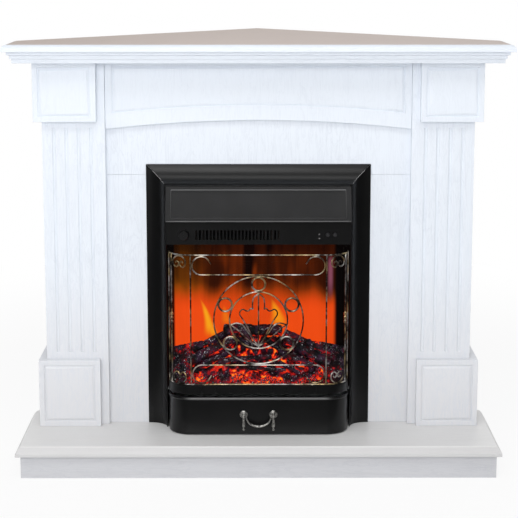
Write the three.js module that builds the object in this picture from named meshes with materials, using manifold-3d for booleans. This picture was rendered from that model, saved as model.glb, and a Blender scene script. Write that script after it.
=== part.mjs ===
// Corner fireplace: a white, wood-grained corner mantelpiece on a low hearth, with a black
// electric fire in its opening. Millimetres, X right, Y back into the corner, Z up.
// While it is put together, Y = 0 is the front face of the white surround and Z = 0 the floor.
import * as THREE from "three";
import { mergeVertices } from "three/addons/utils/BufferGeometryUtils.js";
import Module from "manifold-3d";

const wasm = await Module();
wasm.setup();

// ---------------------------------------------------------------- driving dimensions
const gap = 0.3; // glue line or running clearance between neighbouring pieces
const panelThickness = 16; // MDF boards of the mantelpiece
const cornerDepth = 610; // surround face back to the corner where the two walls meet

// Hearth
const hearthMargin = 34.8; // board beyond the base blocks, to each side
const hearthDepth = 180; // board in front of the surround face
const hearthTop = 73;
const hearthBoard = 22; // board thickness
const hearthLip = 7; // upright band under the sloped edge
const hearthSlope = 11; // how far the sloped edge draws in
const skirtInset = 10.5;

// Mantel shelf and the moulding under it
const shelfOverhang = 76.4; // shelf's nose beyond the legs and the frieze
const shelfThickness = 16;
const shelfNose = 5.5; // upright band under the rounded edge
const shelfRound = 14; // how far the rounded edge draws in
const corniceInsets = [11, 16.7, 20.7]; // each step in from the shelf's nose, top step first
const corniceHeights = [7, 8.3, 10];
const cleatHeight = 45;

// Legs
const legOuter = 483; // centre line to a pilaster's outer face
const pilasterWidth = 140.6;
const pilasterProud = 14;
const fluteCount = 4;
const fluteWidth = 8;
const fluteDepth = 3;
const flutePitch = 27.7;
const fluteOuterMargin = 26; // outer face to the first flute's centre
const fluteEndMargin = 15.7; // flute end to the block above or below
const blockWidth = 140;
const blockLap = 17.5; // block's outer face beyond the pilaster's
const blockProud = 30;
const capitalHeight = 132.5;
const baseHeight = 155;

// Raised fields of the blocks and the frieze
const fieldMargin = 11.5;
const fieldSlope = 7.5; // width of the sloped border round a field
const fieldQuirk = 1.5; // sunk flat outside the slope
const fieldDepth = 3;

// Frieze and surround
const friezeProud = 9;
const headerHeight = 80; // flange up to the underside of the frieze at its ends
const friezeHeight = 150.9; // at its ends, up to the cornice
const archRise = 20;
const archPanelMargin = 33.5; // underside to the raised field
const friezeSideMargin = 14.4;
const friezeTopMargin = 9; // cornice to the raised field
const flangeLap = 13; // flange over the surround, at the sides
const flangeLapTop = 12;
const jointDrop = 12; // header's joint with the side slips, under the aperture's top

// Electric fire: flange, casing and shelf
const sheet = 2; // steel sheet
const flangeWidth = 506;
const flangeTop = 676;
const flangeBand = 46; // visible width of the swept border
const flangeInner = flangeWidth / 2 - flangeBand; // half the clear width inside it
const flangeProud = 35;
const flangeReturn = 20; // how far the folded leg runs behind the surround face
const casingDepth = 110;
const shelfPlate = 2.8; // inner shelf, under the fire tray
const shelfDrop = 1.6; // tray's underside down to the inner shelf
const shelfStep = 1; // inner shelf behind the flange's edge

// Hood and control fascia
const hoodBottom = 556.6;
const hoodProud = 75;
const hoodHem = 8; // folded lower edge
const hoodPanelMargin = 12;
const hoodPanelDepth = 1;
const hoodSkin = 3.2; // depth of the sloped sheet, front to back
const hoodCheek = 29; // how far in front of the surround its cheeks end
const fasciaBottom = 500.5;
const fasciaProud = 47;
const slotCount = 24;
const slotPitch = 8;
const slotWidth = 4.5;
const slotHeight = 22;
const slotBottom = 511;
const knobInset = 40; // flange's inner edge to the knob's centre
const knobAcross = knobInset - flangeInner;
const slotStart = 24; // knob's centre to the first outlet slot
const slotMiddle = knobAcross + slotStart + (slotCount * slotPitch) / 2;
const controlsUp = 523; // height of the knob and the push buttons
const knobRadius = 12;
const knobDepth = 11;
const knobShaft = 3;
const knobShaftLength = 12;
const knobTaper = 1; // drawn in towards its face
const knobChamfer = 1.5;
const knobGrip = 2.5; // raised bar across the face
const knobGripHalf = 1.2;
const buttonRadius = 4.6;
const buttonChamfer = 0.8;
const buttonCollar = 1.6; // hidden collar that keeps it in its hole
const buttonCollarDepth = 2;
const buttonInsets = [52, 36]; // flange's inner edge to each button's centre
const buttonAcross = buttonInsets.map((inset) => flangeInner - inset);
const buttonTravel = 2;
const buttonStand = 2; // what still stands out when it is pressed

// Fire tray, embers and flame screen
const screenProud = 22;
const screenThickness = 3;
const trayProud = 91;
const trayClearance = 3; // tray to the flange's inner edge, each side
const trayHalf = flangeInner - trayClearance;
const trayCorner = 53;
const trayTop = 187.5;
const trayBottom = 167;
const trayWall = 6;
const trayFloor = 2.5;
const notchPitch = 31.5;
const notchWidth = 6;
const notchDepth = 2;
const emberFront = 196; // height of the ember bed at its front edge
const emberSide = 262; // height at the back, at the ends
const emberCrown = 292; // height at the back, in the middle

// Ash drawer and its handle
const drawerStep = 3; // drawer's front ahead of the tray's
const drawerProud = trayProud + drawerStep;
const drawerInset = 1.5; // drawer's sides within the tray's
const drawerHalf = trayHalf - drawerInset;
const drawerCorner = trayCorner - 2 * drawerInset;
const drawerBottom = 75.1;
const drawerTop = 158;
const drawerWall = 3;
const drawerBead = 4; // radius of the rolled top edge
const drawerSideBack = -12; // where the drawer front's side walls end
const panInset = 6.5; // ash pan's sides within the drawer front's
const panHalf = drawerHalf - panInset;
const panTop = 140;
const panBack = 78;
const panWall = 1.5;
const handleUp = 121.7;
const handleHalf = 33.25; // half the distance between the rosettes
const rosetteRadius = 9.2;
const rosetteThickness = 2.4;
const handlePost = 10; // drawer face to the bail's axis
const bailDrop = 25;
const bailPin = 1.4;
const bailMiddle = 2.8;
const finialDrop = 37; // handle's axis to the tip of the hanging baluster
const dropRadius = 3.9;
const pinEntry = 1.6; // the bail's pins stop this far short of the posts' centres
const pinRun = 4.4;

// Wrought guard
const wire = 1.6; // radius of the round bar
const guardInset = 3; // guard's rails within the tray's edge
const guardProud = trayProud - guardInset;
const guardHalf = trayHalf - guardInset;
const guardCorner = trayCorner - guardInset;
const guardTop = 485;
const cornerPostTurn = 60; // degrees round the corner from the front
const hornTurn = 30;
const hornCrest = 14.5; // height of a ram's horn over its middle
const hornWire = 1.5;
const beadPitch = 9; // three turned beads on each corner post
const beadReach = 1.6; // beyond the wire
const endPostTurn = 88;
const scrollHook = 20.6;
const medallionInner = 64.5;
const medallionRing = 15;
const ringWire = 2.2;
const fleurWire = 1.5;
const pegLength = 9;
const pegAcross = 120;

// Flicker unit, lamps, blower and heater behind the screen
const rodBack = 24;
const rodUp = 205;
const rodInset = 35; // flange's inner edge to the flicker rod's last vane
const rodHalf = flangeInner - rodInset;
const rodRadius = 3;
const vaneReach = 13;
const vaneCount = 11;
const vaneHalf = 9; // along the rod
const vaneThickness = 1.2;
const vaneTurn = 40; // each vane turned from the last, in degrees
const cradleFloor = 2;
const cradleDeep = 12; // half its depth
const rodTail = 3; // rod beyond the cradle's free end
const flickerMotorRadius = 17;
const flickerMotorLength = 22;
const lampInset = 39; // flange's inner edge to the lamp strip's end
const lampHalf = flangeInner - lampInset;
const lampCount = 12;
const lampSize = 5;
const lampRise = 5.5; // lamps' faces over the inner shelf
const stripDepth = 12;
const stripRise = 4;
const blowerBack = 24;
const blowerLift = 32; // blower's shaft over the foot of the outlet slots
const blowerUp = slotBottom + blowerLift;
const wheelRadius = 20;
const wheelHalf = 92;
const bladeCount = 10;
const bladeChord = 7;
const bladeThickness = 1.2;
const bladePitch = 35; // degrees
const shaftReach = 18; // wheel's shaft into its motor
const scrollGrowth = 6; // the housing's spiral opens by this much
const ribbonCount = 13; // heating ribbons
const motorRadius = 18;
const motorLength = 34;
const glandInset = 27; // flange's inner edge to the cable inlet's centre
const glandAcross = flangeInner - glandInset;
const glandUp = 118;
const glandRadius = 9;
const glandCollar = 5; // its flange beyond the hole
const glandStem = 12; // its length inside the casing

// ---------------------------------------------------------------- finishes
const finish = (color, roughness, metalness = 0) =>
  new THREE.MeshStandardMaterial({ color, roughness, metalness });
const whiteWood = finish(0xe9eef4, 0.45);
const shelfTopWood = finish(0xdcd9d6, 0.4);
const hiddenBoard = finish(0xb59b78, 0.85);
const blackPaint = finish(0x17181a, 0.5, 0.3);
const greyPaint = finish(0x3a3b3d, 0.5, 0.3);
const galvanised = finish(0x9b9fa3, 0.45, 0.8);
const flameSheet = finish(0xd9480f, 0.3);
const charredEmber = finish(0x3a1410, 0.9);
const charredLog = finish(0x241a18, 0.9);
const bronzeWire = finish(0x3d352b, 0.4, 0.9);
const pewter = finish(0x8d8b86, 0.35, 0.9);
const blackPlastic = finish(0x1b1b1c, 0.45);
const heaterWire = finish(0x8a6a4a, 0.5, 0.7);

// ---------------------------------------------------------------- shaping
const radians = THREE.MathUtils.degToRad;

function loft(outline, rings) {
  // Closed skin through rings of equal point count; the outline in the plane splits the caps.
  if (THREE.ShapeUtils.isClockWise(outline)) {
    return loft([...outline].reverse(), rings.map((ring) => [...ring].reverse()));
  }
  const count = outline.length;
  const caps = THREE.ShapeUtils.triangulateShape(outline, []);
  const positions = rings.flat().flatMap((p) => [p.x, p.y, p.z]);
  const index = [];
  for (let r = 0; r + 1 < rings.length; r += 1) {
    for (let i = 0; i < count; i += 1) {
      const j = (i + 1) % count;
      const low = r * count;
      const high = low + count;
      index.push(low + i, low + j, high + j, low + i, high + j, high + i);
    }
  }
  const last = (rings.length - 1) * count;
  for (const [a, b, c] of caps) {
    index.push(c, b, a, last + a, last + b, last + c);
  }
  const geometry = new THREE.BufferGeometry();
  geometry.setAttribute("position", new THREE.Float32BufferAttribute(positions, 3));
  geometry.setIndex(index);
  return outward(geometry);
}

function outward(geometry) {
  const p = geometry.getAttribute("position");
  const index = geometry.getIndex();
  const [a, b, c] = [new THREE.Vector3(), new THREE.Vector3(), new THREE.Vector3()];
  let volume = 0;
  for (let i = 0; i < index.count; i += 3) {
    a.fromBufferAttribute(p, index.getX(i));
    b.fromBufferAttribute(p, index.getX(i + 1));
    c.fromBufferAttribute(p, index.getX(i + 2));
    volume += a.dot(b.cross(c));
  }
  if (volume < 0) {
    const flipped = Array.from(index.array).reverse();
    geometry.setIndex(flipped);
  }
  return geometry;
}

const flat = (pairs) => pairs.map(([x, y]) => new THREE.Vector2(x, y));

function levels(plans) {
  // A moulded board: the plan outline at each height, from the lowest up.
  const rings = plans.map(({ plan, z }) => plan.map(([x, y]) => new THREE.Vector3(x, y, z)));
  return loft(flat(plans[0].plan), rings);
}

const upright = (plan, bottom, top) => levels([{ plan, z: bottom }, { plan, z: top }]);

function frontal(outline, front, back) {
  // A plate seen from the front: the outline in X and Z, between two distances.
  const geometry = new THREE.ExtrudeGeometry(new THREE.Shape(flat(outline)), {
    depth: back - front,
    bevelEnabled: false,
  });
  return geometry.rotateX(Math.PI / 2).translate(0, back, 0);
}

function sideways(profile, left, right) {
  // A length of section: the profile in Y and Z, between two places across.
  const at = (x) => profile.map(([y, z]) => new THREE.Vector3(x, y, z));
  return loft(flat(profile), [at(left), at(right)]);
}

function block(x0, x1, y0, y1, z0, z1) {
  const geometry = new THREE.BoxGeometry(x1 - x0, y1 - y0, z1 - z0);
  return geometry.translate((x0 + x1) / 2, (y0 + y1) / 2, (z0 + z1) / 2);
}

function circle(radius, sides, turn = 0) {
  const point = (i) => {
    const angle = ((i + turn) / sides) * 2 * Math.PI;
    return new THREE.Vector2(radius * Math.cos(angle), radius * Math.sin(angle));
  };
  return Array.from({ length: sides }, (_, i) => point(i));
}

function bar(points, radius, steps, sides = 6) {
  const curve = new THREE.CatmullRomCurve3(points, false, "centripetal");
  return new THREE.ExtrudeGeometry(new THREE.Shape(circle(radius, sides)), {
    steps,
    extrudePath: curve,
    bevelEnabled: false,
  });
}

function straightBar(from, to, radius, sides = 6, endRadius = radius) {
  const along = new THREE.Vector3().subVectors(to, from);
  const geometry = new THREE.CylinderGeometry(endRadius, radius, along.length(), sides);
  const turn = new THREE.Quaternion().setFromUnitVectors(
    new THREE.Vector3(0, 1, 0),
    along.clone().normalize(),
  );
  geometry.applyQuaternion(turn);
  const middle = from.clone().addScaledVector(along, 0.5);
  return geometry.translate(middle.x, middle.y, middle.z);
}

const point = (x, y, z) => new THREE.Vector3(x, y, z);

function turned(profile, sides) {
  // A turned shape on the Z axis; each pair is a radius and a height.
  const points = profile.map(([r, z]) => new THREE.Vector2(r, z));
  return new THREE.LatheGeometry(points, sides).rotateX(Math.PI / 2);
}

// ---------------------------------------------------------------- joining and cutting
function solid(geometry) {
  const bare = geometry.clone();
  bare.deleteAttribute("normal");
  bare.deleteAttribute("uv");
  const merged = outward(mergeVertices(bare, 1e-4));
  const mesh = new wasm.Mesh({
    numProp: 3,
    vertProperties: new Float32Array(merged.getAttribute("position").array),
    triVerts: new Uint32Array(merged.getIndex().array),
  });
  return new wasm.Manifold(mesh);
}

const joined = (pieces) => pieces.map(solid).reduce((all, next) => all.add(next));

const cut = (body, cutters) => cutters.reduce((rest, cutter) => rest.subtract(cutter), body);

function skin(manifold) {
  const mesh = manifold.getMesh();
  const geometry = new THREE.BufferGeometry();
  const positions = new Float32Array(mesh.vertProperties);
  geometry.setAttribute("position", new THREE.BufferAttribute(positions, 3));
  geometry.setIndex(Array.from(mesh.triVerts));
  return geometry;
}

// ---------------------------------------------------------------- assembly
const fireplace = new THREE.Group();
const portal = new THREE.Group();
const fire = new THREE.Group();
const guard = new THREE.Group();
const drawer = new THREE.Group();
fireplace.add(portal, fire, guard, drawer);

function piece(parent, name, shape, material) {
  const geometry = shape instanceof THREE.BufferGeometry ? shape : skin(shape);
  const mesh = new THREE.Mesh(geometry, material);
  mesh.name = name;
  parent.add(mesh);
  return mesh;
}

const sides = [["left", -1], ["right", 1]];

// ---------------------------------------------------------------- hearth
function cornerPlan(half, front) {
  // Square front, two short sides, and a back that fills the corner at 45 degrees.
  return [
    [-half, front],
    [half, front],
    [half, cornerDepth - half],
    [0, cornerDepth],
    [-half, cornerDepth - half],
  ];
}

const hearthHalf = legOuter + blockLap + hearthMargin;
const hearthUnder = hearthTop - hearthBoard;

function slopedEdge(half, front, bottom, lip, top, draw) {
  const step = (inset, z) => ({ plan: cornerPlan(half - inset, front + inset), z });
  const rise = top - bottom - lip;
  return [
    step(0, bottom),
    step(0, bottom + lip),
    step(draw * 0.14, bottom + lip + rise * 0.12),
    step(draw * 0.34, bottom + lip + rise * 0.42),
    step(draw * 0.62, bottom + lip + rise * 0.76),
    step(draw, top),
  ];
}

piece(
  portal,
  "hearth_board",
  levels(slopedEdge(hearthHalf, -hearthDepth, hearthUnder, hearthLip, hearthTop, hearthSlope)),
  whiteWood,
);

const skirtHalf = hearthHalf - skirtInset;
const skirtFront = -hearthDepth + skirtInset;
const skirtTop = hearthUnder - gap;
const skirtInner = skirtHalf - panelThickness;
const skirtBack = skirtFront + panelThickness;
piece(
  portal,
  "hearth_skirt_front",
  block(-skirtHalf, skirtHalf, skirtFront, skirtBack, 0, skirtTop),
  whiteWood,
);

for (const [label, side] of sides) {
  const skirt = [
    [side * skirtInner, skirtBack + gap],
    [side * skirtHalf, skirtBack + gap],
    [side * skirtHalf, cornerDepth - skirtHalf],
    [side * skirtInner, cornerDepth - skirtInner],
  ];
  piece(portal, `hearth_skirt_${label}`, upright(skirt, 0, skirtTop), whiteWood);
  const reach = skirtInner - gap;
  const inner = panelThickness * Math.SQRT2;
  const rail = [
    [side * gap, cornerDepth - gap],
    [side * reach, cornerDepth - reach],
    [side * reach, cornerDepth - reach - inner],
    [side * gap, cornerDepth - gap - inner],
  ];
  piece(portal, `hearth_rail_${label}`, upright(rail, 0, skirtTop), hiddenBoard);
}

// ---------------------------------------------------------------- mantel shelf and cornice
const archSpringing = flangeTop + headerHeight;
const corniceBottom = archSpringing + friezeHeight;
const corniceTop = corniceBottom + corniceHeights.reduce((sum, height) => sum + height);
const shelfUnder = corniceTop + gap;
const shelfTop = shelfUnder + shelfThickness;
const shelfHalf = legOuter + gap + shelfOverhang;
const shelfFront = -friezeProud - gap - shelfOverhang;

function roundedEdge() {
  const nose = shelfUnder + shelfNose;
  const rise = shelfTop - nose;
  const steps = 5;
  const list = [{ plan: cornerPlan(shelfHalf, shelfFront), z: shelfUnder }];
  for (let i = 0; i <= steps; i += 1) {
    const angle = (i / steps) * (Math.PI / 2);
    const inset = shelfRound * (1 - Math.cos(angle));
    const z = nose + rise * Math.sin(angle);
    list.push({ plan: cornerPlan(shelfHalf - inset, shelfFront + inset), z });
  }
  return list;
}

piece(portal, "mantel_shelf", levels(roundedEdge()), shelfTopWood);

const corniceInnerHalf = shelfHalf - shelfOverhang;
const corniceInnerFront = shelfFront + shelfOverhang;

function corniceLevels(planAt) {
  // Steps from the bottom up, each with a small hollow where it meets the next.
  const list = [];
  let z = corniceBottom;
  for (let i = corniceInsets.length - 1; i >= 0; i -= 1) {
    const hollow = i > 0 ? (corniceInsets[i] - corniceInsets[i - 1]) / 2 : 0;
    list.push({ plan: planAt(corniceInsets[i]), z });
    z += corniceHeights[i];
    list.push({ plan: planAt(corniceInsets[i]), z: z - hollow / 2 - gap });
    if (i > 0) {
      list.push({ plan: planAt(corniceInsets[i] - hollow), z: z - gap });
    }
  }
  list[list.length - 1].z = corniceTop;
  return list;
}

const frontCornice = (inset) => [
  [-(shelfHalf - inset), shelfFront + inset],
  [shelfHalf - inset, shelfFront + inset],
  [corniceInnerHalf, corniceInnerFront],
  [-corniceInnerHalf, corniceInnerFront],
];
piece(portal, "cornice_front", levels(corniceLevels(frontCornice)), whiteWood);

for (const [label, side] of sides) {
  const sideCornice = (inset) => [
    [side * (shelfHalf - inset), shelfFront + inset + 2 * gap],
    [side * corniceInnerHalf, corniceInnerFront + 2 * gap],
    [side * corniceInnerHalf, cornerDepth - corniceInnerHalf],
    [side * (shelfHalf - inset), cornerDepth - (shelfHalf - inset)],
  ];
  piece(portal, `cornice_${label}`, levels(corniceLevels(sideCornice)), whiteWood);
}

// ---------------------------------------------------------------- legs
const baseTop = hearthTop + gap + baseHeight;
const capitalTop = corniceBottom - gap;
const capitalBottom = capitalTop - capitalHeight;
const legInner = legOuter - pilasterWidth;
const legBottom = hearthTop + gap;
const blockOuter = legOuter + blockLap;
const blockInner = blockOuter - blockWidth;

const rectangle = (x0, x1, z0, z1) => [[x0, z0], [x1, z0], [x1, z1], [x0, z1]];

function inField(outline, inset, front) {
  // The outline drawn in by an inset, for outlines with upright ends, at one distance.
  const xs = outline.map(([x]) => x);
  const zs = outline.map(([, z]) => z);
  const [x0, x1] = [Math.min(...xs), Math.max(...xs)];
  const top = Math.max(...zs);
  return outline.map(([x, z]) => {
    const across = THREE.MathUtils.clamp(x, x0 + inset, x1 - inset);
    return point(across, front, z === top ? z - inset : z + inset);
  });
}

function fieldCutter(outline, front) {
  // The sunk border round a raised field: a shallow slab less the sloped field.
  const slab = solid(frontal(outline, front - fieldDepth, front + fieldDepth));
  const rings = [
    inField(outline, fieldSlope + (fieldSlope - fieldQuirk) / 3, front - 1),
    inField(outline, fieldQuirk - (fieldSlope - fieldQuirk) / 3, front + fieldDepth + 1),
  ];
  return slab.subtract(solid(loft(flat(outline), rings)));
}

function pilaster(side) {
  const [x0, x1] = [legInner, legOuter].map((x) => x * side);
  const left = Math.min(x0, x1);
  const right = Math.max(x0, x1);
  const board = solid(block(left, right, -pilasterProud, -gap, legBottom, capitalTop));
  const low = baseTop + fluteEndMargin;
  const high = capitalBottom - fluteEndMargin;
  const cutters = [];
  for (let i = 0; i < fluteCount; i += 1) {
    const x = side * (legOuter - fluteOuterMargin - i * flutePitch);
    const half = fluteWidth / 2;
    const front = -pilasterProud;
    const section = [
      [x - half, front - 1],
      [x - half, front],
      [x - half * 0.6, front + fluteDepth * 0.8],
      [x, front + fluteDepth],
      [x + half * 0.6, front + fluteDepth * 0.8],
      [x + half, front],
      [x + half, front - 1],
    ];
    cutters.push(solid(upright(section, low, high)));
  }
  return cut(board, cutters);
}

function wrappedBlock(side, bottom, top) {
  // Front plate and side return in one, the return running back to the wall.
  const front = -blockProud;
  const behind = -pilasterProud - gap;
  const plan = [
    [side * blockInner, front],
    [side * blockOuter, front],
    [side * blockOuter, cornerDepth - blockOuter],
    [side * (legOuter + gap), cornerDepth - legOuter - gap],
    [side * (legOuter + gap), behind],
    [side * blockInner, behind],
  ];
  const ends = [side * (blockInner + fieldMargin), side * (blockOuter - fieldMargin)];
  const outline = rectangle(
    Math.min(...ends),
    Math.max(...ends),
    bottom + fieldMargin,
    top - fieldMargin,
  );
  return cut(solid(upright(plan, bottom, top)), [fieldCutter(outline, front)]);
}

for (const [label, side] of sides) {
  piece(portal, `pilaster_${label}`, pilaster(side), whiteWood);
  piece(
    portal,
    `capital_block_${label}`,
    wrappedBlock(side, capitalBottom, capitalTop),
    whiteWood,
  );
  piece(portal, `base_block_${label}`, wrappedBlock(side, legBottom, baseTop), whiteWood);
  const innerFace = legOuter - panelThickness;
  const panel = [
    [side * innerFace, 0],
    [side * legOuter, 0],
    [side * legOuter, cornerDepth - legOuter],
    [side * innerFace, cornerDepth - innerFace],
  ];
  piece(portal, `side_panel_${label}`, upright(panel, legBottom, corniceTop), whiteWood);
  const reach = innerFace - gap;
  const inner = panelThickness * Math.SQRT2;
  const cleat = [
    [side * gap, cornerDepth - gap],
    [side * reach, cornerDepth - reach],
    [side * reach, cornerDepth - reach - inner],
    [side * gap, cornerDepth - gap - inner],
  ];
  piece(
    portal,
    `shelf_cleat_${label}`,
    upright(cleat, corniceTop - cleatHeight, corniceTop),
    hiddenBoard,
  );
}

// ---------------------------------------------------------------- frieze and surround
const friezeHalf = legInner - gap;

function archAt(x, half, springing) {
  const radius = (half * half + archRise * archRise) / (2 * archRise);
  return springing + archRise - radius + Math.sqrt(radius * radius - x * x);
}

function archedOutline(half, springing, top) {
  const steps = 16;
  const outline = [[half, top], [-half, top]];
  for (let i = 0; i <= steps; i += 1) {
    const x = -half + (2 * half * i) / steps;
    outline.push([x, archAt(x, friezeHalf, springing)]);
  }
  return outline;
}

const friezeField = archedOutline(
  friezeHalf - friezeSideMargin,
  archSpringing + archPanelMargin,
  corniceBottom - friezeTopMargin,
);
piece(
  portal,
  "frieze_board",
  cut(solid(frontal(archedOutline(friezeHalf, archSpringing, corniceTop), -friezeProud, -gap)), [
    fieldCutter(friezeField, -friezeProud),
  ]),
  whiteWood,
);

const surroundHalf = legOuter - panelThickness - gap;
const apertureHalf = flangeWidth / 2 - flangeLap;
const apertureTop = flangeTop - flangeLapTop;
const surroundJoint = apertureTop - jointDrop;
piece(
  portal,
  "surround_header",
  frontal(
    [
      [-surroundHalf, surroundJoint],
      [-apertureHalf, surroundJoint],
      [-apertureHalf, apertureTop],
      [apertureHalf, apertureTop],
      [apertureHalf, surroundJoint],
      [surroundHalf, surroundJoint],
      [surroundHalf, corniceTop],
      [-surroundHalf, corniceTop],
    ],
    0,
    panelThickness,
  ),
  whiteWood,
);
for (const [label, side] of sides) {
  const [x0, x1] = [side * apertureHalf, side * surroundHalf].sort((a, b) => a - b);
  piece(
    portal,
    `surround_slip_${label}`,
    block(x0, x1, 0, panelThickness, legBottom, surroundJoint - gap),
    whiteWood,
  );
}

// ---------------------------------------------------------------- flange
const flangeHalf = flangeWidth / 2;
const fireBottom = hearthTop + gap;

const flangeSweep = flangeBand - sheet; // width of the hollow curve, beside the folded leg
const flangeLift = flangeProud - sheet;

function flangeSection() {
  // Pairs of inset and distance: the hollow front, the folded leg, then back behind the curve.
  const steps = 9;
  const front = [];
  const back = [];
  for (let i = 0; i <= steps; i += 1) {
    const angle = (i / steps) * (Math.PI / 2);
    const u = flangeSweep * Math.sin(angle);
    const y = -gap - sheet - flangeLift * (1 - Math.cos(angle));
    const normal = new THREE.Vector2(Math.sin(angle) / flangeSweep, Math.cos(angle) / flangeLift);
    normal.setLength(sheet);
    front.push([u, y]);
    if (u + normal.x < flangeSweep - sheet / 4) {
      back.unshift([u + normal.x, y + normal.y]);
    }
  }
  const leg = [
    [flangeBand, -gap - flangeProud],
    [flangeBand, flangeReturn],
    [flangeSweep, flangeReturn],
    [flangeSweep, -gap - flangeLift / 2],
  ];
  return [...front, ...leg, ...back];
}

const section = flangeSection();
for (const [label, side] of sides) {
  const foot = section.map(([u, y]) => point(side * (flangeHalf - u), y, fireBottom));
  const head = section.map(([u, y]) => point(side * (flangeHalf - u), y, flangeTop - u - gap));
  piece(fire, `flange_${label}`, loft(flat(section), [foot, head]), blackPaint);
}
const flangeEnds = [-1, 1].map((side) =>
  section.map(([u, y]) => point(side * (flangeHalf - u - gap), y, flangeTop - u)),
);
piece(fire, "flange_top", loft(flat(section), flangeEnds), blackPaint);

// ---------------------------------------------------------------- casing
const clearHalf = flangeInner + sheet + gap; // the flange's folded legs slide inside
const casingHalf = clearHalf + sheet;
const clearTop = flangeTop - flangeBand + sheet + gap;
const casingTop = clearTop + sheet;
const casingFront = gap;
const casingFloor = fireBottom + panWall;
const casingBox = block(
  -casingHalf,
  casingHalf,
  casingFront,
  casingDepth,
  fireBottom,
  casingTop,
);
const casingInside = block(
  -clearHalf,
  clearHalf,
  casingFront - 1,
  casingDepth + 1,
  casingFloor,
  clearTop,
);
const legRoom = block(-clearHalf, clearHalf, casingFront - 1, flangeReturn + gap, 0, casingTop / 2);
const wrapper = cut(solid(casingBox), [solid(casingInside), solid(legRoom)]);
piece(fire, "casing_wrapper", wrapper, galvanised);

const casingBackFront = casingDepth + gap;
const casingRear = casingBackFront + sheet;
const rearPlate = block(
  -casingHalf,
  casingHalf,
  casingBackFront,
  casingRear,
  fireBottom,
  casingTop,
);
const glandHole = straightBar(
  point(glandAcross, casingDepth - 1, glandUp),
  point(glandAcross, casingRear + 1, glandUp),
  glandRadius + gap,
  16,
);
piece(fire, "casing_back", solid(rearPlate).subtract(solid(glandHole)), galvanised);

const glandSeat = sheet + gap;
const gland = turned(
  [
    [0, -glandStem],
    [glandRadius, -glandStem],
    [glandRadius, glandSeat],
    [glandRadius + glandCollar, glandSeat],
    [glandRadius + glandCollar, glandSeat + glandCollar],
    [glandRadius + 1, glandSeat + 9],
    [glandRadius - 2, glandSeat + 10],
    [glandRadius - 4, glandSeat + 2],
    [0, glandSeat + 2],
  ],
  16,
);
const glandMesh = piece(fire, "inlet_gland", gland, blackPlastic);
glandMesh.rotation.x = -Math.PI / 2;
glandMesh.position.set(glandAcross, casingBackFront, glandUp);

// ---------------------------------------------------------------- inner shelf and flame screen
const shelfPlateTop = trayBottom - shelfDrop;
const shelfPlateBottom = shelfPlateTop - shelfPlate;
const cheekFace = flangeInner - gap; // half the clear width between the folded legs
const chassisFront = -flangeProud + shelfStep;
const chassisRearHalf = clearHalf - gap;
const chassisNotch = flangeReturn + shelfStep;
const chassisPlan = [
  [-cheekFace, chassisFront],
  [cheekFace, chassisFront],
  [cheekFace, chassisNotch],
  [chassisRearHalf, chassisNotch],
  [chassisRearHalf, casingDepth],
  [-chassisRearHalf, casingDepth],
  [-chassisRearHalf, chassisNotch],
  [-cheekFace, chassisNotch],
];
piece(
  fire,
  "chassis_shelf",
  upright(chassisPlan, shelfPlateBottom, shelfPlateTop),
  galvanised,
);

const screenTop = fasciaBottom - gap;
piece(
  fire,
  "flame_screen",
  block(
    -cheekFace,
    cheekFace,
    -screenProud,
    -screenProud + screenThickness,
    shelfPlateTop + gap,
    screenTop,
  ),
  flameSheet,
);

// ---------------------------------------------------------------- hood
const hoodHalf = flangeInner - gap;
const hoodTop = flangeTop - flangeBand - gap;
const hoodSlopeTop = -flangeProud - gap;

function hoodShape() {
  const slope = [
    [hoodSlopeTop, hoodTop],
    [-hoodProud, hoodBottom],
    [-hoodProud + hoodHem, hoodBottom],
    [-hoodProud + hoodHem, hoodBottom + sheet],
    [-hoodProud + hoodSkin, hoodBottom + sheet],
    [hoodSlopeTop + hoodSkin, hoodTop - sheet],
    [-screenProud, hoodTop - sheet],
    [-screenProud, hoodTop],
  ];
  const cheek = [
    [hoodSlopeTop, hoodTop],
    [-hoodProud, hoodBottom],
    [-hoodCheek, hoodBottom],
    [-hoodCheek, hoodTop],
  ];
  const shell = joined([
    sideways(slope, -hoodHalf, hoodHalf),
    sideways(cheek, -hoodHalf, -hoodHalf + sheet),
    sideways(cheek, hoodHalf - sheet, hoodHalf),
  ]);
  const face = point(0, -hoodProud - hoodSlopeTop, hoodBottom - hoodTop);
  const length = face.length();
  const across = hoodHalf - hoodPanelMargin;
  const along = length / 2 - hoodPanelMargin;
  const panel = block(-across, across, -hoodPanelDepth, hoodPanelDepth, -along, along);
  panel.rotateX(-Math.atan2(hoodProud + hoodSlopeTop, hoodTop - hoodBottom));
  panel.translate(0, (hoodSlopeTop - hoodProud) / 2, (hoodTop + hoodBottom) / 2);
  return shell.subtract(solid(panel));
}
piece(fire, "hood", hoodShape(), greyPaint);

// ---------------------------------------------------------------- control fascia
const fasciaTop = hoodBottom - gap;
const fasciaBack = -fasciaProud + sheet;
const fasciaReturn = -screenProud - gap;

function roundHole(x, z, radius) {
  const through = (y) => point(x, y, z);
  return solid(straightBar(through(-fasciaProud - 1), through(fasciaBack + 1), radius, 16));
}

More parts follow.
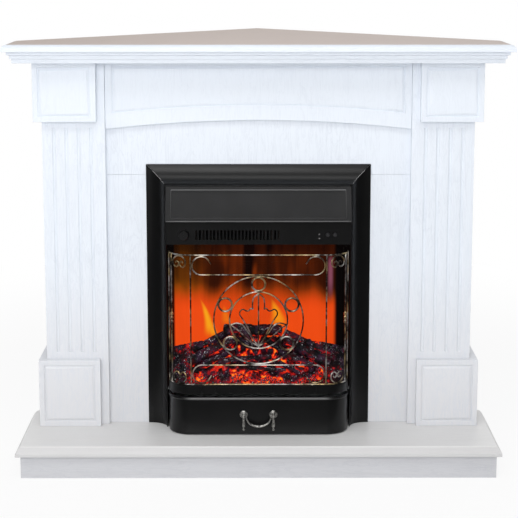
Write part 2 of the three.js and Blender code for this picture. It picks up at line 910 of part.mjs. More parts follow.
function fasciaShape() {
  const front = -fasciaProud;
  const holes = [roundHole(knobAcross, controlsUp, knobShaft + gap)];
  for (const x of buttonAcross) {
    holes.push(roundHole(x, controlsUp, buttonRadius + gap));
  }
  const slotTop = slotBottom + slotHeight;
  for (let i = 0; i < slotCount; i += 1) {
    const x = slotMiddle + (i - slotCount / 2) * slotPitch + (slotPitch - slotWidth) / 2;
    holes.push(solid(block(x, x + slotWidth, front - 1, fasciaBack + 1, slotBottom, slotTop)));
  }
  const folded = [
    [front, fasciaBottom],
    [fasciaReturn, fasciaBottom],
    [fasciaReturn, fasciaBottom + sheet],
    [fasciaBack, fasciaBottom + sheet],
    [fasciaBack, fasciaTop],
    [front, fasciaTop],
  ];
  return cut(solid(sideways(folded, -cheekFace, cheekFace)), holes);
}
piece(fire, "control_fascia", fasciaShape(), blackPaint);

const knob = joined([
  turned(
    [
      [0, -knobDepth],
      [knobRadius - knobTaper - knobChamfer, -knobDepth],
      [knobRadius - knobTaper, -knobDepth + knobChamfer],
      [knobRadius, 0],
      [0, 0],
    ],
    20,
  ),
  turned([[0, -1], [knobShaft, -1], [knobShaft, knobShaftLength], [0, knobShaftLength]], 12),
  block(
    -knobGripHalf,
    knobGripHalf,
    -knobRadius + knobTaper,
    knobRadius - knobTaper,
    -knobDepth - knobGrip,
    -knobDepth + knobChamfer,
  ),
]);
const knobMesh = piece(fire, "control_knob", knob, blackPlastic);
knobMesh.rotation.x = -Math.PI / 2;
knobMesh.position.set(knobAcross, -fasciaProud - gap, controlsUp);

const buttonProud = buttonTravel + buttonStand;
const collarFront = sheet + gap;
["heat_button", "flame_button"].forEach((name, i) => {
  const profile = [
    [0, -buttonProud],
    [buttonRadius - buttonChamfer, -buttonProud],
    [buttonRadius, -buttonProud + buttonChamfer],
    [buttonRadius, collarFront],
    [buttonRadius + buttonCollar, collarFront],
    [buttonRadius + buttonCollar, collarFront + buttonCollarDepth],
    [0, collarFront + buttonCollarDepth],
  ];
  const button = piece(fire, name, turned(profile, 16), blackPlastic);
  button.rotation.x = -Math.PI / 2;
  button.position.set(buttonAcross[i], -fasciaProud, controlsUp);
});

// ---------------------------------------------------------------- bowed plan of tray and drawer
function bowedPlan(half, front, radius, back) {
  // Straight front, quarter-round corners, straight sides running back.
  const steps = 7;
  const plan = [[half, back], [-half, back]];
  for (let i = 0; i <= steps; i += 1) {
    const angle = (i / steps) * (Math.PI / 2);
    plan.push([
      -half + radius - radius * Math.cos(angle),
      front + radius - radius * Math.sin(angle),
    ]);
  }
  for (let i = steps; i >= 0; i -= 1) {
    const angle = (i / steps) * (Math.PI / 2);
    plan.push([
      half - radius + radius * Math.cos(angle),
      front + radius - radius * Math.sin(angle),
    ]);
  }
  return plan;
}

function bowedBar(half, front, corner, z, section) {
  // A bar of the given section bent round the bowed plan, from one side to the other.
  const paths = section.map((p) => {
    const plan = bowedPlan(half + p.x, front - p.x, corner + p.x, 0).slice(2);
    return plan.map(([x, y]) => point(x, y, z + p.y));
  });
  const rings = paths[0].map((_, i) => paths.map((path) => path[i]));
  return loft(section, rings);
}

// ---------------------------------------------------------------- fire tray and embers
const trayBack = -screenProud - gap;

function trayShape() {
  const body = solid(
    upright(bowedPlan(trayHalf, -trayProud, trayCorner, trayBack), trayBottom, trayTop),
  );
  const pocket = bowedPlan(
    trayHalf - trayWall,
    -trayProud + trayWall,
    trayCorner - trayWall,
    trayBack - sheet,
  );
  const cutters = [solid(upright(pocket, trayBottom + trayFloor, trayTop + 1))];
  const straight = trayHalf - trayCorner;
  const reach = Math.floor(straight / notchPitch);
  const middle = (trayBottom + trayTop) / 2;
  const tall = (trayTop - trayBottom) / 2 - trayFloor;
  for (let i = -reach; i <= reach; i += 1) {
    const x = i * notchPitch;
    cutters.push(
      solid(
        block(
          x - notchWidth / 2,
          x + notchWidth / 2,
          -trayProud - 1,
          -trayProud + notchDepth,
          middle - tall,
          middle + tall,
        ),
      ),
    );
  }
  for (const side of [-1, 1]) {
    const hole = straightBar(
      point(side * pegAcross, -guardProud, trayTop - pegLength - 1),
      point(side * pegAcross, -guardProud, trayTop + 1),
      wire + gap,
      8,
    );
    cutters.push(solid(hole));
  }
  return cut(body, cutters);
}
piece(fire, "fire_tray", trayShape(), blackPaint);

const emberHalf = trayHalf - trayWall - gap;
const emberCorner = trayCorner - trayWall - gap;
const emberLow = trayBottom + trayFloor + gap;
const emberBack = trayBack - sheet - gap;
const emberFace = -trayProud + trayWall + gap;

function emberRing(x) {
  const past = Math.max(0, Math.abs(x) - (emberHalf - emberCorner));
  const front = emberFace + emberCorner - Math.sqrt(emberCorner ** 2 - past ** 2) + past * 0.02;
  const bow = Math.cos((x / emberHalf) * (Math.PI / 2));
  const back = emberSide + (emberCrown - emberSide) * bow;
  const at = (t, share) => point(
    x,
    front + (emberBack - front) * t,
    emberFront + (back - emberFront) * share,
  );
  return [
    point(x, emberBack, emberLow),
    point(x, front, emberLow),
    at(0, 0),
    at(0.3, 0.38),
    at(0.62, 0.8),
    at(0.85, 1),
    at(1, 0.97),
  ];
}

function emberShape() {
  const stations = 20;
  const rings = [];
  for (let i = 0; i <= stations; i += 1) {
    rings.push(emberRing(emberHalf * (-1 + (2 * i) / stations) * 0.997));
  }
  const outline = rings[stations / 2].map((p) => new THREE.Vector2(p.y, p.z));
  return loft(outline, rings);
}
const embers = solid(emberShape());
piece(fire, "ember_bed", embers, charredEmber);

// Each log's ends: shares of the bed's half width and of its depth, then the height of the log's
// centre over the coals' front edge; and its radius there.
const logs = [
  ["log_back", [-0.415, 0.72, 107, 17], [0.283, 0.68, 109, 15]],
  ["log_left", [-0.8, 0.38, 32, 15], [-0.263, 0.51, 96, 13]],
  ["log_right", [0.79, 0.38, 26, 16], [0.303, 0.51, 94, 12]],
];
const logEnd = ([across, back, up]) =>
  point(across * emberHalf, emberFace + back * (emberBack - emberFace), emberFront + up);
const laid = [embers];
for (const [name, foot, head] of logs) {
  const round = solid(straightBar(logEnd(foot), logEnd(head), foot[3], 9, head[3]));
  const bedding = laid.map((other) => other.translate(0, -gap, gap));
  const spread = laid.map((other) => other.translate(0, gap, gap));
  const log = cut(cut(round, bedding), [...spread, ...laid]);
  laid.push(log);
  piece(fire, name, log, charredLog);
}

// ---------------------------------------------------------------- lamps and flicker unit
const lampFloor = shelfPlateTop + gap;
const lampParts = [block(-lampHalf, lampHalf, -stripDepth, 0, lampFloor, lampFloor + stripRise)];
for (let i = 0; i < lampCount; i += 1) {
  const x = ((i + 0.5) / lampCount - 0.5) * 2 * (lampHalf - lampSize);
  const lamp = block(-lampSize / 2, lampSize / 2, -lampSize / 2, lampSize / 2, 1, lampRise);
  lampParts.push(lamp.translate(x, -stripDepth / 2, lampFloor));
}
piece(fire, "led_bar", joined(lampParts), galvanised);

const cradleHalf = rodHalf + cradleFloor * 2;
const cradleTop = rodUp + rodRadius * 3;
const cradleBottom = shelfPlateTop + gap;
const cradleParts = [
  block(
    -cradleHalf,
    cradleHalf,
    rodBack - cradleDeep,
    rodBack + cradleDeep,
    cradleBottom,
    cradleBottom + cradleFloor,
  ),
];
for (const side of [-1, 1]) {
  const [x0, x1] = [side * cradleHalf, side * (cradleHalf - cradleFloor)].sort((a, b) => a - b);
  cradleParts.push(
    block(x0, x1, rodBack - cradleDeep, rodBack + cradleDeep, cradleBottom, cradleTop),
  );
}
const rodEnd = rodHalf + 8;
const acrossRod = (x) => point(x, rodBack, rodUp);
const cradle = joined(cradleParts).subtract(
  solid(straightBar(acrossRod(-rodEnd), acrossRod(rodEnd), rodRadius + gap, 12)),
);
piece(fire, "flicker_cradle", cradle, galvanised);

const rodParts = [straightBar(acrossRod(-cradleHalf - rodTail), acrossRod(rodEnd), rodRadius, 12)];
for (let i = 0; i < vaneCount; i += 1) {
  const x = ((i + 0.5) / vaneCount - 0.5) * 2 * (rodHalf - vaneHalf / 2);
  const half = vaneThickness / 2;
  const vane = block(-vaneHalf, vaneHalf, -half, half, -vaneReach, vaneReach);
  vane.rotateX(radians(i * vaneTurn)).translate(x, rodBack, rodUp);
  rodParts.push(vane);
}
piece(fire, "flicker_rod", joined(rodParts), galvanised);

const motorFace = cradleHalf + gap;
const motorSocket = solid(
  straightBar(acrossRod(motorFace - 1), acrossRod(rodEnd + gap), rodRadius + gap, 12),
);
const motorEnd = motorFace + flickerMotorLength;
const footHalf = flickerMotorRadius / 2;
const motor = joined([
  straightBar(acrossRod(motorFace), acrossRod(motorEnd), flickerMotorRadius, 16),
  block(motorFace + 2, motorEnd - 2, rodBack - footHalf, rodBack + footHalf, cradleBottom, rodUp),
]).subtract(motorSocket);
piece(fire, "flicker_motor", motor, blackPlastic);

// ---------------------------------------------------------------- blower and heater
const ductFront = fasciaBack + gap;
const ductFloor = fasciaBottom + sheet + gap;
const ductRoof = slotBottom + slotHeight + 5;
const housingHalf = wheelHalf + 6;
const scrollRadius = wheelRadius + 7;

function scrollSheet() {
  // Duct floor, then round behind and over the wheel; the inside runs one sheet further in.
  const outer = [[ductFront, ductFloor], [blowerBack - 6, ductFloor]];
  const inner = [[ductFront, ductFloor + sheet], [blowerBack - 6, ductFloor + sheet]];
  const steps = 10;
  for (let i = 0; i <= steps; i += 1) {
    const angle = radians(-62 + (i / steps) * 172);
    const wide = scrollRadius + scrollGrowth * (1 - i / steps);
    const reach = (r) => [blowerBack + r * Math.cos(angle), blowerUp + r * Math.sin(angle)];
    outer.push(reach(wide + sheet));
    inner.push(reach(wide));
  }
  return [...outer, ...inner.reverse()];
}

function blowerHousing() {
  const roof = [
    [ductFront, ductRoof],
    [blowerBack - scrollRadius, ductRoof],
    [blowerBack - scrollRadius, ductRoof + sheet],
    [ductFront, ductRoof + sheet],
  ];
  const end = [
    [ductFront, ductFloor],
    [blowerBack, ductFloor],
    [blowerBack + scrollRadius + scrollGrowth, blowerUp - 12],
    [blowerBack + scrollRadius + scrollGrowth, blowerUp + 12],
    [blowerBack + 10, blowerUp + scrollRadius + 1],
    [blowerBack - 10, blowerUp + scrollRadius + 1],
    [blowerBack - scrollRadius, ductRoof + sheet],
    [ductFront, ductRoof + sheet],
  ];
  const left = slotMiddle - housingHalf;
  const right = slotMiddle + housingHalf;
  const shell = joined([
    sideways(scrollSheet(), left, right),
    sideways(roof, left, right),
    sideways(end, left, left + sheet),
    sideways(end, right - sheet, right),
    straightBar(
      point(right - sheet / 2, blowerBack, blowerUp),
      point(right + motorLength, blowerBack, blowerUp),
      motorRadius,
      16,
    ),
  ]);
  const shaftHole = straightBar(
    point(left - 1, blowerBack, blowerUp),
    point(right + shaftReach + 2, blowerBack, blowerUp),
    rodRadius + gap,
    12,
  );
  return shell.subtract(solid(shaftHole));
}
piece(fire, "blower_housing", blowerHousing(), galvanised);

const onWheel = (x) => point(slotMiddle + x, blowerBack, blowerUp);
const wheelParts = [
  straightBar(onWheel(-housingHalf - rodTail), onWheel(housingHalf + shaftReach), rodRadius, 12),
];
for (const x of [-wheelHalf, 0, wheelHalf - sheet]) {
  wheelParts.push(straightBar(onWheel(x), onWheel(x + sheet), wheelRadius - 1, 12));
}
for (let i = 0; i < bladeCount; i += 1) {
  const [half, chord] = [bladeThickness / 2, bladeChord / 2];
  const blade = block(-wheelHalf + 1, wheelHalf - 1, -half, half, -chord, chord);
  blade.rotateX(radians(bladePitch)).translate(0, 0, wheelRadius - chord - half);
  blade.rotateX((i / bladeCount) * 2 * Math.PI);
  wheelParts.push(blade.translate(slotMiddle, blowerBack, blowerUp));
}
piece(fire, "blower_wheel", joined(wheelParts), galvanised);

function heaterShape() {
  const half = (slotCount * slotPitch) / 2 - 2;
  const front = ductFront + 4;
  const back = front + 8;
  const low = ductFloor + sheet + gap;
  const high = ductRoof - gap;
  const frame = [
    block(-half, half, front, back, low, low + 2),
    block(-half, half, front, back, high - 2, high),
  ];
  for (let i = 0; i < ribbonCount; i += 1) {
    const x = -half + 1 + (i * (2 * half - 2)) / (ribbonCount - 1);
    frame.push(block(x - 1, x + 1, front + 1, back - 1, low + 1, high - 1));
  }
  return joined(frame).translate(slotMiddle, 0, 0);
}
piece(fire, "heater_element", heaterShape(), heaterWire);

// ---------------------------------------------------------------- ash drawer
function drawerShape() {
  const outer = solid(
    upright(
      bowedPlan(drawerHalf, -drawerProud, drawerCorner, drawerSideBack),
      drawerBottom,
      drawerTop,
    ),
  );
  const inner = solid(
    upright(
      bowedPlan(
        drawerHalf - drawerWall,
        -drawerProud + drawerWall,
        drawerCorner - drawerWall,
        drawerSideBack + 1,
      ),
      drawerBottom - 1,
      drawerTop + 1,
    ),
  );
  const mid = drawerWall / 2;
  const bead = bowedBar(
    drawerHalf - mid,
    -drawerProud + mid,
    drawerCorner - mid,
    drawerTop,
    circle(drawerBead, 8),
  );
  return outer.subtract(inner).add(solid(bead));
}
piece(drawer, "drawer_front", drawerShape(), blackPaint);

const panFront = -drawerProud + drawerWall + gap;
const panFrontHalf = drawerHalf - drawerCorner;
function panPlan(inset) {
  const slant = drawerHalf - drawerWall - panFrontHalf - 6;
  return [
    [-panFrontHalf + inset, panFront + inset],
    [panFrontHalf - inset, panFront + inset],
    [panHalf - inset, panFront + slant],
    [panHalf - inset, panBack - inset],
    [-panHalf + inset, panBack - inset],
    [-panHalf + inset, panFront + slant],
  ];
}
piece(
  drawer,
  "ash_pan",
  cut(solid(upright(panPlan(0), drawerBottom, panTop)), [
    solid(upright(panPlan(panWall), drawerBottom + panWall, panTop + 1)),
  ]),
  galvanised,
);

// ---------------------------------------------------------------- drop handle
const pivotProud = drawerProud + handlePost;

function rosetteShape(side) {
  // Face plate, round post with a ball, and the baluster that hangs below it.
  const plate = turned(
    [
      [0, 0],
      [rosetteRadius, 0],
      [rosetteRadius, 1],
      [rosetteRadius - 2, rosetteThickness],
      [3.6, rosetteThickness],
      [3, handlePost - 4],
      [4.2, handlePost - 2.5],
      [4.6, handlePost],
      [3.4, handlePost + 3],
      [0, handlePost + 4.4],
    ],
    16,
  ).rotateX(Math.PI / 2);
  const drop = turned(
    [
      [0, -finialDrop],
      [2, -finialDrop + 1.2],
      [3, -finialDrop + 3.5],
      [1.6, -finialDrop + 6.5],
      [3.2, -finialDrop + 8.5],
      [dropRadius, -finialDrop + 13],
      [3.1, -rosetteRadius - 5],
      [3.6, -rosetteRadius],
      [3.2, -rosetteRadius + 5],
      [0, -rosetteRadius + 6],
    ],
    10,
  ).translate(0, -dropRadius - gap, 0);
  const eye = straightBar(point(-side * 1, -handlePost, 0), point(-side * 8, -handlePost, 0),
    bailPin + gap, 10);
  return joined([plate, drop]).subtract(solid(eye));
}
for (const [label, side] of sides) {
  const rosette = piece(drawer, `rosette_${label}`, rosetteShape(side), pewter);
  rosette.position.set(side * handleHalf, -drawerProud - gap, handleUp);
}

function bailShape() {
  // Tapered bow from pin to pin: a lofted round bar, thickest in the middle.
  const half = handleHalf - pinEntry;
  const steps = 22;
  const rings = [];
  for (let i = 0; i <= steps; i += 1) {
    const t = -1 + (2 * i) / steps;
    const thick = bailPin + (bailMiddle - bailPin) * Math.cos((t * Math.PI) / 2) ** 1.5;
    const bow = half - pinRun;
    const angle = (t * Math.PI) / 2;
    const centre = point(bow * Math.sin(angle), 0, -bailDrop * Math.cos(angle) ** 0.8);
    const slope = Math.atan2(bailDrop * Math.sin(angle), bow * Math.cos(angle));
    rings.push(
      circle(thick, 8).map((p) =>
        point(
          centre.x - p.x * Math.sin(slope),
          p.y,
          centre.z + p.x * Math.cos(slope),
        ),
      ),
    );
  }
  const outline = circle(bailPin, 8);
  const pins = [-1, 1].map((side) =>
    straightBar(point(side * (half - pinRun - 1.2), 0, 0), point(side * half, 0, 0), bailPin, 8),
  );
  return joined([loft(outline, rings), ...pins]);
}
const bail = piece(drawer, "handle_bail", bailShape(), pewter);
bail.position.set(0, -pivotProud - gap, handleUp);

// ---------------------------------------------------------------- wrought guard
const railLow = trayTop + gap + wire;
const guardCentre = guardHalf - guardCorner; // half the straight front of the rails
const bendBack = -guardProud + guardCorner;

const onCorner = (side, turn, z, radius = guardCorner) =>
  point(
    side * (guardCentre + radius * Math.sin(radians(turn))),
    bendBack - radius * Math.cos(radians(turn)),
    z,
  );

const rail = (z) => bowedBar(guardHalf, -guardProud, guardCorner, z, circle(wire, 6));

function ramHorn(side, z, up) {
  // A small arch whose two ends curl in and meet, standing square to the bend of the rail.
  const half = [
    [0, 1],
    [-0.62, 0.83],
    [-1.07, 0.28],
    [-1.03, -0.41],
    [-0.59, -0.75],
    [-0.14, -0.48],
    [-0.14, 0],
    [-0.45, 0.14],
    [-0.66, -0.1],
  ];
  const arch = [...half.slice(1).reverse(), ...half.map(([x, y]) => [-x, y])];
  const points = arch.map(([x, y]) => point(x * hornCrest, 0, y * hornCrest * up));
  const horn = bar(points, hornWire, 26, 5);
  const seat = onCorner(side, hornTurn, z - up * (hornCrest + wire + hornWire / 2));
  return horn.rotateZ(radians(side * hornTurn)).translate(seat.x, seat.y, seat.z);
}

const topRail = joined([rail(guardTop), ramHorn(-1, guardTop, 1), ramHorn(1, guardTop, 1)]);
piece(guard, "guard_top_rail", topRail, bronzeWire);

const postTop = guardTop - wire - gap / 3;
function post(at) {
  return straightBar(at(railLow - wire / 2), at(postTop), wire);
}
const frameParts = [rail(railLow), ramHorn(-1, railLow, -1), ramHorn(1, railLow, -1)];
for (const side of [-1, 1]) {
  frameParts.push(post((z) => point(side * guardCentre, -guardProud, z)));
  frameParts.push(post((z) => onCorner(side, cornerPostTurn, z)));
  frameParts.push(post((z) => onCorner(side, endPostTurn, z)));
  for (const lift of [-beadPitch, 0, beadPitch]) {
    const [reach, tall] = [wire + beadReach, beadPitch / 2];
    const bead = turned([[0, -tall], [reach, -tall + 1.5], [reach, tall - 1.5], [0, tall]], 7);
    const seat = onCorner(side, cornerPostTurn, (railLow + guardTop) / 2 + lift);
    frameParts.push(bead.translate(seat.x, seat.y, seat.z));
  }
  frameParts.push(
    straightBar(
      point(side * pegAcross, -guardProud, railLow - wire - pegLength),
      point(side * pegAcross, -guardProud, railLow),
      wire,
      8,
    ),
  );
}
piece(guard, "guard_frame", joined(frameParts), bronzeWire);

const scrollReach = guardCentre - 2 * wire - gap - scrollHook;
const hookTip = 26; // the hook's straight end, past the turn

function scroll(barZ, up) {
  const points = [];
  const centreZ = barZ + up * scrollHook;
  for (const side of [-1, 1]) {
    const hook = [];
    for (let turn = 0; turn <= 225; turn += 22.5) {
      hook.push(
        point(
          side * (scrollReach + scrollHook * Math.sin(radians(turn))),
          -guardProud,
          centreZ - up * scrollHook * Math.cos(radians(turn)),
        ),
      );
    }
    const last = hook[hook.length - 1];
    const lean = hookTip / 2;
    hook.push(point(last.x - side * lean * 0.55, -guardProud, last.z - up * lean * 0.84));
    points.push(...(side < 0 ? hook.reverse() : [point(0, -guardProud, barZ), ...hook]));
  }
  return bar(points, wire, 44, 6);
}
const scrollInset = 2 * scrollHook + 2 * wire + gap; // scroll bar to rail
const upperBar = guardTop - scrollInset;
const lowerBar = railLow + scrollInset;
piece(guard, "guard_scroll_upper", scroll(upperBar, 1), bronzeWire);
piece(guard, "guard_scroll_lower", scroll(lowerBar, -1), bronzeWire);

const medallionUp = (upperBar + lowerBar) / 2;
const medallionOuter = (upperBar - lowerBar) / 2 - 2 * wire - gap;
const ringReach = (medallionOuter + medallionInner) / 2;
const ringTurns = [90, 25.5, 154.5, -40, 220];

function ring(radius, thickness, x, z, segments) {
  const torus = new THREE.TorusGeometry(radius, thickness, 6, segments);
  return torus.rotateX(Math.PI / 2).translate(x, -guardProud, z);
}

// Half of the fleur, from the middle of the medallion: its petal, shoulder and stem, then a leaf.
const petal = [
  [0, 61],
  [-11, 51],
  [-13.6, 35],
  [-12.5, 25],
  [-17, 27.4],
  [-22, 21.6],
  [-28, 21.6],
  [-35, 25],
  [-41, 20],
  [-41.5, 12],
  [-35, 2],
  [-23, -20],
  [-12, -42],
  [0, -61],
];
const leafTop = [[-62.6, -10.5], [-48, -6.6], [-35, -11.4], [-25, -25.4], [-11, -45], [0, -59]];
const leafUnder = [[-62.6, -10.5], [-50.4, -19], [-36.4, -31.6], [-22.4, -45.5], [0, -60]];

function medallion() {
  const parts = [
    ring(medallionOuter, wire, 0, medallionUp, 44),
    ring(medallionInner, wire, 0, medallionUp, 32),
    straightBar(
      point(0, -guardProud, medallionUp - medallionInner),
      point(0, -guardProud, medallionUp + medallionInner),
      wire,
    ),
  ];
  for (const turn of ringTurns) {
    const x = ringReach * Math.cos(radians(turn));
    const z = medallionUp + ringReach * Math.sin(radians(turn));
    parts.push(ring(medallionRing, ringWire, x, z, 12));
  }
  for (const side of [-1, 1]) {
    for (const [line, steps] of [[petal, 26], [leafTop, 9], [leafUnder, 8]]) {
      const points = line.map(([x, z]) => point(-side * x, -guardProud, medallionUp + z));
      parts.push(bar(points, fleurWire, steps, 5));
    }
  }
  return joined(parts);
}
piece(guard, "guard_medallion", medallion(), bronzeWire);

// ---------------------------------------------------------------- place the whole
fireplace.position.y = -(cornerDepth - hearthDepth) / 2;

export default fireplace;
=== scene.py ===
import math

import bmesh
import bpy
from mathutils import Matrix, Vector, noise


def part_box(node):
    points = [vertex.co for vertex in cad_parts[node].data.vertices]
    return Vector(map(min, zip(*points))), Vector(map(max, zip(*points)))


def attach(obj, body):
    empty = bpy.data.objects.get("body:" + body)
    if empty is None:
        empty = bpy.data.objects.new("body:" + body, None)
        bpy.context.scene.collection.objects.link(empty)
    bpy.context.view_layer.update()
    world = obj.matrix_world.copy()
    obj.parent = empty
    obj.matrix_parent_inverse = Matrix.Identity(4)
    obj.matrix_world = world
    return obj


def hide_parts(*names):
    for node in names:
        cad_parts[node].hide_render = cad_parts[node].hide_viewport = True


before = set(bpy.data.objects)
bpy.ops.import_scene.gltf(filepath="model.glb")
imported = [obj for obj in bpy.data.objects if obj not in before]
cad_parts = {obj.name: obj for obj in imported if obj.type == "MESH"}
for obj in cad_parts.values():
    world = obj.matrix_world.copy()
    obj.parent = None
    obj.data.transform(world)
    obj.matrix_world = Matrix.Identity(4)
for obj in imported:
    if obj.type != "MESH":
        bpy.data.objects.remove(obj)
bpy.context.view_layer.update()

# ---------------------------------------------------------------- camera
# The picture is taken from a little above the shelf, well back in the room and nearly
# square to the fireplace.
# A long lens looks down a little, so that the shelf's top and the hearth's top both show.
eye = Vector((-0.0105, -3.495, 1.15))
look_down = math.radians(9.1)
look_right = 0.0036
lens = bpy.data.cameras.new("camera")
lens.sensor_width = 36
lens.lens = 102.4
lens.shift_y = -0.14
camera = bpy.data.objects.new("camera", lens)
camera.location = eye
camera.rotation_euler = (math.pi / 2 - look_down, 0, -look_right)
bpy.context.scene.collection.objects.link(camera)
bpy.context.scene.camera = camera
bpy.context.scene.view_settings.view_transform = "Standard"


# ---------------------------------------------------------------- studio floor
# A pale floor that runs out of sight. Seen directly it is lifted to white, and it keeps the
# soft shadow that the hearth throws. Mirrored in the black steel, its front half is dim.
class Amount:
    """A number that varies over a surface: the output of a shader node, used in sums."""

    def __init__(self, nodes, socket):
        self.nodes = nodes
        self.socket = socket

    def maths(self, operation, *values):
        inputs = dict(enumerate(values))
        return self.nodes.node("Math", {"operation": operation}, inputs)

    def __add__(self, other):
        return self.maths("ADD", self, other)

    def __sub__(self, other):
        return self.maths("SUBTRACT", self, other)

    def __rsub__(self, other):
        return self.maths("SUBTRACT", other, self)

    def __mul__(self, other):
        return self.maths("MULTIPLY", self, other)

    def __truediv__(self, other):
        return self.maths("DIVIDE", self, other)

    def __pow__(self, other):
        return self.maths("POWER", self, other)

    def __abs__(self):
        return self.maths("ABSOLUTE", self)

    __radd__ = __add__
    __rmul__ = __mul__

    def larger(self, other):
        return self.maths("MAXIMUM", self, other)

    def smaller(self, other):
        return self.maths("MINIMUM", self, other)

    def ramp(self, start, end, low=0.0, high=1.0):
        """Runs smoothly from low at start to high at end, and stays level outside them."""
        inputs = {0: self, 1: start, 2: end, 3: low, 4: high}
        return self.nodes.node("MapRange", {"interpolation_type": "SMOOTHSTEP"}, inputs)


class Nodes:
    """The shader nodes of one material, or of the sky."""

    def __init__(self, tree):
        self.tree = tree

    def node(self, kind, settings=None, inputs=None, output=0):
        made = self.tree.nodes.new("ShaderNode" + kind)
        for name, value in (settings or {}).items():
            if name == "stops":
                ramp = made.color_ramp.elements
                while len(ramp) < len(value):
                    ramp.new(0.5)
                for element, (place, colour) in zip(ramp, value):
                    element.position = place
                    element.color = (*colour, 1)
            else:
                setattr(made, name, value)
        for key, value in (inputs or {}).items():
            self.connect(made.inputs[key], value)
        return Amount(self, made.outputs[output])

    def connect(self, socket, value):
        if isinstance(value, Amount):
            self.tree.links.new(value.socket, socket)
        else:
            socket.default_value = value

    def split(self, where):
        """The three numbers of a place or of a direction."""
        parts = self.node("SeparateXYZ", inputs={0: where}).socket.node.outputs
        return [Amount(self, part) for part in parts]


class Finish(Nodes):
    """One material: a shader with its fixed sockets, and the nodes that vary the others."""

    def __init__(self, name, **fixed):
        self.material = bpy.data.materials.new(name)
        self.material.use_nodes = True
        super().__init__(self.material.node_tree)
        self.shader = self.tree.nodes["Principled BSDF"]
        for socket, value in fixed.items():
            self.shader.inputs[socket.replace("_", " ")].default_value = value

    def set(self, **varying):
        for socket, value in varying.items():
            self.connect(self.shader.inputs[socket.replace("_", " ")], value)

    def now(self, socket):
        """What already varies a socket of the shader."""
        return Amount(self, self.shader.inputs[socket].links[0].from_socket)

    def place(self, scale=(1, 1, 1), offset=(0, 0, 0), turn=(0, 0, 0)):
        """Where a point lies on the object, in metres times scale."""
        point = self.node("TexCoord", output=3)
        return self.node(
            "Mapping",
            inputs={"Vector": point, "Scale": scale, "Location": offset, "Rotation": turn},
        )

    def across(self):
        """How far a point lies to the right, to the back and up, in metres."""
        return self.split(self.node("TexCoord", output=3))

    def noise(self, where, scale, detail=2.0, rough=0.5, bend=0.0):
        inputs = {"Vector": where, "Scale": scale, "Detail": detail}
        inputs.update({"Roughness": rough, "Distortion": bend})
        return self.node("TexNoise", inputs=inputs)

    def blend(self, share, first, second, how="MIX"):
        """Two colours mixed, share of the second over the first."""
        as_colour = [v if isinstance(v, Amount) else (*v, 1) for v in (first, second)]
        settings = {"data_type": "RGBA", "blend_type": how}
        inputs = {0: share, 6: as_colour[0], 7: as_colour[1]}
        return self.node("Mix", settings, inputs, output=2)

    def relief(self, height, depth, under=None):
        """The surface's normal with a relief of that depth in metres."""
        inputs = {"Height": height, "Distance": depth, "Strength": 1.0}
        if under is not None:
            inputs["Normal"] = under
        return self.node("Bump", inputs=inputs)


floor_reach = 12.0
floor_white = 0.86
floor_lift = 0.88
floor_mirrored_grey = (0.08, 0.08, 0.08)

floor_mesh = bmesh.new()
bmesh.ops.create_grid(floor_mesh, x_segments=1, y_segments=1, size=floor_reach)
floor_data = bpy.data.meshes.new("studio_floor")
floor_mesh.to_mesh(floor_data)
floor_mesh.free()
studio_floor = bpy.data.objects.new("studio_floor", floor_data)
bpy.context.scene.collection.objects.link(studio_floor)

floor_finish = Finish("studio_floor", Roughness=0.9, Specular_IOR_Level=0.1)
floor_finish.set(Base_Color=(floor_white, floor_white, floor_white, 1))
floor_seen = floor_finish.node("LightPath", output="Is Camera Ray")
floor_mirrored = floor_finish.node("LightPath", output="Is Glossy Ray")
floor_mirrored = floor_mirrored.larger(floor_finish.node("LightPath", output="Is Transmission Ray"))
floor_x, floor_y = floor_finish.across()[:2]
floor_far = (floor_x**2 + floor_y**2) ** 0.5
floor_dim = (floor_y - abs(floor_x) * 0.5).ramp(-0.75, -0.35, 1.0, 0.0)
floor_tone = floor_finish.blend(floor_mirrored * floor_dim, (1, 1, 1), floor_mirrored_grey)
floor_share = floor_seen * floor_far.ramp(0.9, 2.0, floor_lift, 1.0)
floor_share = floor_share.larger(floor_mirrored * floor_far.ramp(0.35, 0.75))
floor_paint = Amount(floor_finish, floor_finish.shader.outputs[0])
floor_glow = floor_finish.node("Emission", inputs={"Color": floor_tone, "Strength": 1.0})
floor_mix = floor_finish.node("MixShader", inputs={0: floor_share, 1: floor_paint, 2: floor_glow})
floor_finish.connect(floor_finish.tree.nodes["Material Output"].inputs["Surface"], floor_mix)
floor_data.materials.append(floor_finish.material)


# ---------------------------------------------------------------- studio light
# A long soft box over the front edge, a larger one beside the camera, and weak ones at the
# sides and the back, in a dome of plain light that reads as white where it is seen.
# Mirrored, that dome is dim to the front and the sides, so that black steel stays dark.
def soft_box(name, place, aim, width, height, watts, mirrored):
    light = bpy.data.lights.new(name, "AREA")
    light.shape = "RECTANGLE"
    light.size = width
    light.size_y = height
    light.energy = watts
    box = bpy.data.objects.new(name, light)
    box.visible_glossy = mirrored
    box.location = place
    box.rotation_euler = (Vector(aim) - Vector(place)).to_track_quat("-Z", "Y").to_euler()
    bpy.context.scene.collection.objects.link(box)


soft_box("key", (0, -1.75, 3.0), (0, -0.25, 0.6), 2.4, 0.8, 20, True)
soft_box("front", (-0.45, -3.2, 1.5), (0, -0.2, 0.5), 1.8, 1.4, 39, True)
soft_box("left", (-2.8, -1.5, 1.5), (0, -0.2, 0.5), 0.8, 2.0, 8, False)
soft_box("right", (2.8, -1.5, 1.5), (0, -0.2, 0.5), 0.8, 2.0, 3, False)
soft_box("back", (0.4, 2.6, 2.4), (0, 0.1, 0.5), 2.0, 1.4, 16, True)

